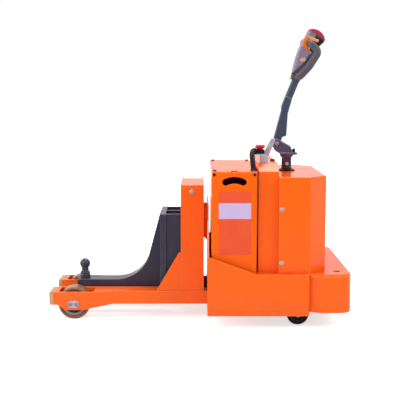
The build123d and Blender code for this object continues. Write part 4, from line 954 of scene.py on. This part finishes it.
@dataclass
class HoodTrim(Trim):
    """Screws of the drive hood, the key, and the bolt and cheek of the stop strap, in metres."""

    screw_head: Fastener = Fastener(0.0075, 0.005, washer_r=0.0105, socket_r=0.0036, washer_h=0.002)
    screw_x: float = 0.374
    screw_z: Pair = (0.539, 0.2985)
    key_turn_deg: float = 35.0
    barrel_r: float = 0.0078
    barrel_h: float = 0.003
    barrel_foot: float = -0.001
    barrel_dish: Pair = (0.0012, 0.0008)
    keyway: Triple = (0.0088, 0.0024, 0.01)
    keyway_foot: float = -0.0005
    strap_head: Fastener = Fastener(0.0075, 0.005, washer_r=0.0088, socket_r=0.0034)
    strap_bolt: Pair = (0.341, 0.838)
    strap_in: float = 0.036
    cheek_x: Pair = (0.279, 0.316)
    cheek_tall: float = 0.0365
    cheek_thick: float = 0.003
    cheek_in: float = 0.0028
    cheek_corner: float = 0.007
    cheek_rim: float = 0.0006

    def build(self) -> None:
        """Make and hang all of it."""
        low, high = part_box("drive_hood")
        spots = [outward(self.screw_x, y, z) for y in (low[1], high[1]) for z in self.screw_z]
        self.fasten("hood_screws", self.screw_head, spots)
        self.key()
        low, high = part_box("stop_bracket")
        x, z = self.strap_bolt
        spots = [((x, low[1] + self.strap_in, z), (0, -1, 0)), ((x, high[1], z), (0, 1, 0))]
        self.fasten("strap_bolt", self.strap_head, spots)
        self.cheek()

    def cheek(self) -> None:
        """Make the cheek plate that stiffens the stop bracket's near side."""
        _, near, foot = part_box("stop_bracket")[0]
        left, right = self.cheek_x
        plate = self.block("stop_cheek", (right - left, self.cheek_tall, self.cheek_thick))
        self.soften(plate, self.cheek_corner, 4, lambda middle, way: abs(way.z) > STEEP and middle.y > 0)
        self.soften(plate, self.cheek_rim, 2, topmost(self.cheek_thick))
        self.shift(plate, ((left + right) / 2, near + self.cheek_in, foot + self.cheek_tall / 2), (0, -1, 0))
        self.keep(plate, Finishes.ZINC, "zinc")

    def key(self) -> None:
        """Make the key switch's barrel with its keyway, flush in a raised rim."""
        low, high = (Vector(corner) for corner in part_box("key_switch"))
        barrel = self.drum("key_barrel", self.barrel_r, self.barrel_h, 32, self.barrel_foot)
        self.sink(barrel, *self.barrel_dish)
        self.cut(barrel, self.block("keyway", self.keyway, self.keyway_foot))
        centre = (low + high) / 2
        self.shift(barrel, (centre.x, centre.y, high.z), spin_deg=self.key_turn_deg)
        self.keep(barrel, Finishes.STEEL, "zinc")


@dataclass
class TillerTrim(Trim):
    """Fittings of the column, yoke and tiller head, in metres; a place on the head is up, out and across."""

    column_head: Fastener = Fastener(0.0066, 0.0055, washer_r=0.0082, socket_r=0.0032)
    column_bolt: Triple = (0.424, 0.0223, 0.715)
    stop_place: Triple = (0.458, 0.0, 0.7685)
    stop_r: float = 0.0068
    stop_tall: float = 0.018
    stop_rim: float = 0.0025
    stop_dish: Pair = (0.0016, 0.0012)
    brim_place: Triple = (0.423, 0.0, 0.7605)
    brim_size: Triple = (0.099, 0.077, 0.0125)
    brim_undercut: Pair = (0.0205, 0.027)
    brim_fall: float = 0.005
    brim_end: float = 0.03
    brim_corner: float = 0.012
    pivot_head: Fastener = Fastener(0.0078, 0.005, washer_r=0.0098, socket_r=0.0048, washer_h=0.0012)
    pivot: Triple = (0.374, 0.036, 0.812)
    pivot_proud: float = 0.0002
    pivot_r: float = 0.006
    head_foot: Pair = (0.459, 1.105)
    head_tilt_deg: float = 22.0
    button_place: Triple = (0.102, 0.006, 0.0285)
    button_size: Triple = (0.026, 0.018, 0.0062)
    button_corner: float = 0.004
    button_crown: float = 0.0018
    button_lean_deg: float = 28.0
    belly_place: Triple = (0.070, -0.005, 0.0)
    belly_size: Triple = (0.022, 0.052, 0.112)
    belly_lean: float = 0.025
    belly_round: float = 0.006
    fold_place: Triple = (0.4115, 0.019, 0.9635)
    fold_size: Triple = (0.0235, 0.0016, 0.0005)
    fold_foot: float = -0.0001
    fold_corner: float = 0.0006
    fold_lean_deg: float = 20.0
    joint_place: Triple = (-0.0845, -0.002, 0.0)
    joint_size: Triple = (0.0342, 0.0402, 0.0022)
    joint_wall: float = 0.0007
    joint_corners: Pair = (0.009, 0.008)

    def build(self) -> None:
        """Make and hang all of it."""
        self.fasten("column_bolts", self.column_head, mirrored(*self.column_bolt), body="steer")
        self.stop()
        self.pivot_bolt()
        self.buttons()
        self.belly()
        self.brim()
        self.folds()
        self.joint()

    @property
    def lean(self) -> Triple:
        """Direction along the tiller at rest."""
        slope = math.radians(self.head_tilt_deg)
        return math.sin(slope), 0.0, math.cos(slope)

    def head_place(self, up: float, out: float, side: float) -> Triple:
        """Find a point on the head.

        Args:
            up: Distance along the tiller from the head's foot.
            out: Distance out from its underside.
            side: Distance across.

        Returns:
            The point.
        """
        ahead, _, rise = self.lean
        x, z = self.head_foot
        return x - out * rise + up * ahead, side, z + out * ahead + up * rise

    def stop(self) -> None:
        """Make the rubber stop behind the yoke, with a dished top."""
        rubber = self.drum("tiller_stop", self.stop_r, self.stop_tall, 24)
        self.soften(rubber, self.stop_rim, 3, topmost(self.stop_tall))
        self.sink(rubber, *self.stop_dish)
        self.keep(self.shift(rubber, self.stop_place), Finishes.RUBBER, "black_plastic", "steer")

    def pivot_bolt(self) -> None:
        """Make the pivot bolt with a socket head on each side."""
        heads = self.set_out("pivot_heads", self.head(self.pivot_head), mirrored(*self.pivot))
        x, half, z = self.pivot
        end = half + self.pivot_proud
        shank = self.drum("shank", self.pivot_r, 2 * end, 24)
        self.soften(shank, self.pivot_proud / 2, 1, across(2))
        self.shift(shank, (x, end, z), (0, -1, 0))
        piece = self.join("pivot_bolt_assembly", [heads, shank])
        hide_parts("pivot_bolt")
        self.keep(piece, Finishes.BOLT, "zinc", "steer")

    def buttons(self) -> None:
        """Make the horn button on each side of the head, a crowned peach rocker."""
        rocker = self.block("button", self.button_size)
        self.soften(rocker, self.button_corner, 4, along(2))
        self.soften(rocker, self.button_crown, 3, topmost(self.button_size[2]))
        spots = mirrored(*self.head_place(*self.button_place))
        pair = self.set_out("horn_buttons", rocker, spots, self.button_lean_deg, -2 * self.button_lean_deg)
        self.keep(pair, Finishes.PEACH, "orange_plastic", "tiller")

    def belly(self) -> None:
        """Make the fairing between the grips, a wedge that fills the hollow of the head's front."""
        wedge = self.block("belly_fairing", self.belly_size)
        with self.picked(wedge, Pick.FACES, upward):
            bpy.ops.transform.translate(value=(self.belly_lean, 0, 0))
        self.soften(wedge, self.belly_round, 4, lambda middle, way: middle.x > 0)
        self.shift(wedge, self.head_place(*self.belly_place), self.lean)
        self.keep(wedge, Finishes.SLATE, "slate_paint", "tiller")

    def brim(self) -> None:
        """Make the brim's lip round the foot of the yoke, undercut at both ends and sloping to the stop."""
        lip = self.block("brim_lip", self.brim_size)
        end, middle_z = self.brim_size[0] / 2 - GRACE, self.brim_size[2] / 2
        back, front = self.brim_undercut
        for high, ahead, step in ((-1, -1, (back, 0, 0)), (-1, 1, (-front, 0, 0)), (1, 1, (0, 0, -self.brim_fall))):
            with self.picked(lip, Pick.EDGES, lambda middle, way: (
                    abs(way.y) > STEEP and high * (middle.z - middle_z) > 0 and ahead * middle.x > end)):
                bpy.ops.transform.translate(value=step)
        self.soften(lip, self.brim_corner, 5, lambda middle, way: (
            abs(way.y) < LEVEL and abs(middle.x) > self.brim_end))
        self.keep(self.shift(lip, self.brim_place), Finishes.BRIM_HIGHLIT, "slate_paint", "steer")

    def folds(self) -> None:
        """Make the dark line of the fold on each side of the arm."""
        strip = self.block("fold", self.fold_size, self.fold_foot)
        self.soften(strip, self.fold_corner, 2, along(2))
        spots = mirrored(*self.fold_place)
        pair = self.set_out("arm_folds", strip, spots, -self.fold_lean_deg, 2 * self.fold_lean_deg)
        self.keep(pair, Finishes.BLACK, "black_plastic", "tiller")

    def joint(self) -> None:
        """Make the thin collar round the joint of the tiller's tube."""
        deep, wide, tall = self.joint_size
        wall = 2 * self.joint_wall
        band = self.block("tube_joint", (deep + wall, wide + wall, tall))
        core = self.block("core", (deep, wide, 3 * tall), -tall)
        for piece, corner in zip((band, core), self.joint_corners):
            self.soften(piece, corner, 5, along(2))
        self.cut(band, core)
        self.shift(band, self.head_place(*self.joint_place), self.lean)
        self.keep(band, Finishes.BOLT, "zinc", "tiller")


@dataclass
class LegTrim(Trim):
    """Screws of the axle keepers and mast post, and a black block that stands in for shade behind the post, in
    metres.
    """

    keeper_head: Fastener = Fastener(0.0088, 0.0045, washer_r=0.0104, socket_r=0.0046)
    keeper_x: float = -0.576
    keeper_z: float = 0.075
    keeper_pitch: float = 0.029
    post_head: Fastener = Fastener(0.0088, 0.006, washer_r=0.0115, socket_r=0.0042)
    post_bolt: Pair = (-0.025, 0.598)
    # Black block filling the shaded gap behind the post: painted shade
    shade_block_y: float = -0.110
    shade_block_z: Pair = (0.139, 0.190)
    shade_block_wide: float = 0.06
    shade_block_corner: float = 0.004
    groove_half: float = 0.12
    groove_scale: float = 0.9

    def build(self) -> None:
        """Make and hang all of it."""
        low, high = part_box("axle_keepers")
        shifts = (-self.keeper_pitch / 2, self.keeper_pitch / 2)
        spots = [outward(self.keeper_x + shift, y, self.keeper_z) for y in (low[1], high[1]) for shift in shifts]
        self.fasten("keeper_screws", self.keeper_head, spots, Finishes.BOLT)
        low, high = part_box("mast_post")
        x, z = self.post_bolt
        self.fasten("post_bolts", self.post_head, [outward(x, y, z) for y in (low[1], high[1])])
        self.shade_block()

    def shade_block(self) -> None:
        """Make the grooved black rubber block between the post and the body's rear wall: painted shade, a dark piece
        that fills the shaded gap there.
        """
        near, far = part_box("mast_post")[1][0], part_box("rear_wall")[0][0]
        width = far - near
        foot, top = self.shade_block_z
        pad = self.block("mast_shade_block", (width, self.shade_block_wide, top - foot), foot)
        self.soften(pad, self.shade_block_corner, 3, along(0))
        with self.picked(pad, Pick.EDGES, along(0)):
            bpy.ops.mesh.subdivide(number_cuts=4)
        scale = (1, self.groove_scale, self.groove_scale)
        with self.picked(pad, Pick.EDGES, lambda middle, way: (
                abs(middle.x) < self.groove_half * width and abs(way.x) < LEVEL)):
            bpy.ops.transform.resize(value=scale, center_override=(0, 0, (foot + top) / 2))
        self.shift(pad, ((near + far) / 2, self.shade_block_y, 0))
        self.keep(pad, Finishes.RUBBER, "black_plastic")


@dataclass
class CasterTrim(Trim):
    """Axle nuts of the two casters, in metres."""

    axle_nut: Fastener = Fastener(0.0105, 0.008, washer_r=0.0125, sides=6)
    axle_x: float = 0.457
    axle_y: float = 0.245
    axle_z: float = 0.05
    fork_half: float = 0.032

    def build(self) -> None:
        """Make and hang the nuts on the outer faces of the fork blades."""
        for name, middle in (("right", -self.axle_y), ("left", self.axle_y)):
            spots = [((self.axle_x, middle + way * self.fork_half, self.axle_z), (0, way, 0)) for way in (-1, 1)]
            self.fasten("caster_nuts_" + name, self.axle_nut, spots, body="caster_" + name)


@dataclass(frozen=True)
class Lamp:
    """A soft rectangular lamp, in metres and watts."""

    name: str
    place: Triple
    aim: Triple
    size: Pair
    power: float

    def hang(self) -> None:
        """Hang the lamp so that it faces its aim."""
        light = bpy.data.lights.new(self.name, "AREA")
        light.shape = "RECTANGLE"
        light.size, light.size_y = self.size
        light.energy = self.power
        holder = bpy.data.objects.new(self.name, light)
        bpy.context.scene.collection.objects.link(holder)
        holder.location = self.place
        holder.rotation_euler = (Vector(self.aim) - Vector(self.place)).to_track_quat("-Z", "Y").to_euler()


@dataclass
class Studio:
    """Floor, lights, white surround and the photograph's camera, in metres."""

    camera_place: Triple = (0.012, -4.005, 1.053)
    pitch_deg: float = 7.31
    lens_mm: float = 75.8
    sensor_mm: float = 36.0
    sight: float = 60.0
    floor_half: float = 12.0
    floor_pale: Colour = (0.93, 0.93, 0.93)
    floor_flag: Colour = (0.2, 0.2, 0.2)
    floor_roughness: float = 0.9
    floor_glow: float = 0.66
    flag_y: Pair = (-0.6, 1.2)
    glow_reach: Pair = (0.8, 3.0)
    white: Colour = (1.0, 1.0, 1.0)
    near_dim: float = 0.12
    far_sheen: float = 0.88
    dim_depth: Pair = (-0.6, 0.45)
    daylight: float = 0.50
    lamps: tuple[Lamp, ...] = (
        Lamp("key_lamp", (3.2, -2.2, 2.8), (0.1, 0, 0.4), (2.4, 2.4), 74),
        Lamp("fill_lamp", (-3.4, -2.2, 2.6), (-0.2, 0, 0.4), (2.6, 2.6), 100),
        Lamp("top_lamp", (0.1, 0.6, 4.0), (0, 0, 0.3), (2.5, 1.5), 92),
    )

    def build(self) -> None:
        """Set up the whole studio."""
        bpy.context.scene.view_settings.view_transform = "Standard"
        self.camera()
        self.floor()
        self.surround()
        for lamp in self.lamps:
            lamp.hang()

    def camera(self) -> None:
        """Stand the camera at the photograph's viewpoint."""
        made = bpy.data.cameras.new("photo_camera")
        made.lens = self.lens_mm
        made.sensor_width = self.sensor_mm
        made.clip_end = self.sight
        holder = bpy.data.objects.new("photo_camera", made)
        bpy.context.scene.collection.objects.link(holder)
        holder.location = self.camera_place
        holder.rotation_euler = (math.radians(90 - self.pitch_deg), 0, 0)
        bpy.context.scene.camera = holder

    def floor(self) -> None:
        """Lay the pale floor, white to the camera apart from the object's shadow."""
        bpy.ops.object.select_all(action="DESELECT")
        bpy.ops.mesh.primitive_plane_add(size=2 * self.floor_half)
        floor = bpy.context.object
        floor.name = "studio_floor"
        paint = bpy.data.materials.new("studio_floor")
        graph = Graph(paint)
        camera, gloss, clear = graph.sight()
        flagged = gloss * (1 - graph.span(graph.axis(1), *self.flag_y))
        graph.feed("Base Color", graph.blend(flagged, self.floor_pale, self.floor_flag))
        graph.feed("Roughness", self.floor_roughness)
        away = graph.measure("LENGTH", {0: graph.place()})
        glow = graph.span(away, *self.glow_reach) * (1 - self.floor_glow) + self.floor_glow
        graph.feed("Emission Color", (camera + gloss + clear - flagged) * glow)
        graph.feed("Emission Strength", 1.0)
        floor.data.materials.append(paint)

    def surround(self) -> None:
        """White world to the camera, dimmer to gloss on the near side of the studio, softer as a light."""
        world = bpy.data.worlds.new("white_surround")
        bpy.context.scene.world = world
        graph = Graph(world)
        camera, gloss, clear = graph.sight()
        depth = graph.part(graph.node("ShaderNodeTexCoord", {}, {}, "Generated"), 1)
        mirrored = graph.span(depth, *self.dim_depth) * (self.far_sheen - self.near_dim) + self.near_dim
        seen = camera + clear
        graph.feed("Color", self.white)
        graph.feed("Strength", seen + gloss * mirrored + (1 - seen - gloss) * self.daylight)


def dress_nodes() -> None:
    """Give every node of the frame its finish."""
    slots = {entry["node"]: entry["material_slot"] for entry in frame["record"]["subparts"]}
    for name, node in frame["nodes"].items():
        dress(node, OWN_FINISH.get(name, NODE_FINISH[slots[name]]))
        LOG.info("dressed %s", name)


def main() -> None:
    """Dress the frame, add the trim, and set up the studio."""
    logging.basicConfig(level=logging.INFO)
    dress_nodes()
    for trim in (BatteryTrim(), HoodTrim(), TillerTrim(), LegTrim(), CasterTrim()):
        trim.build()
    Studio().build()


if __name__ == "__main__":
    main()
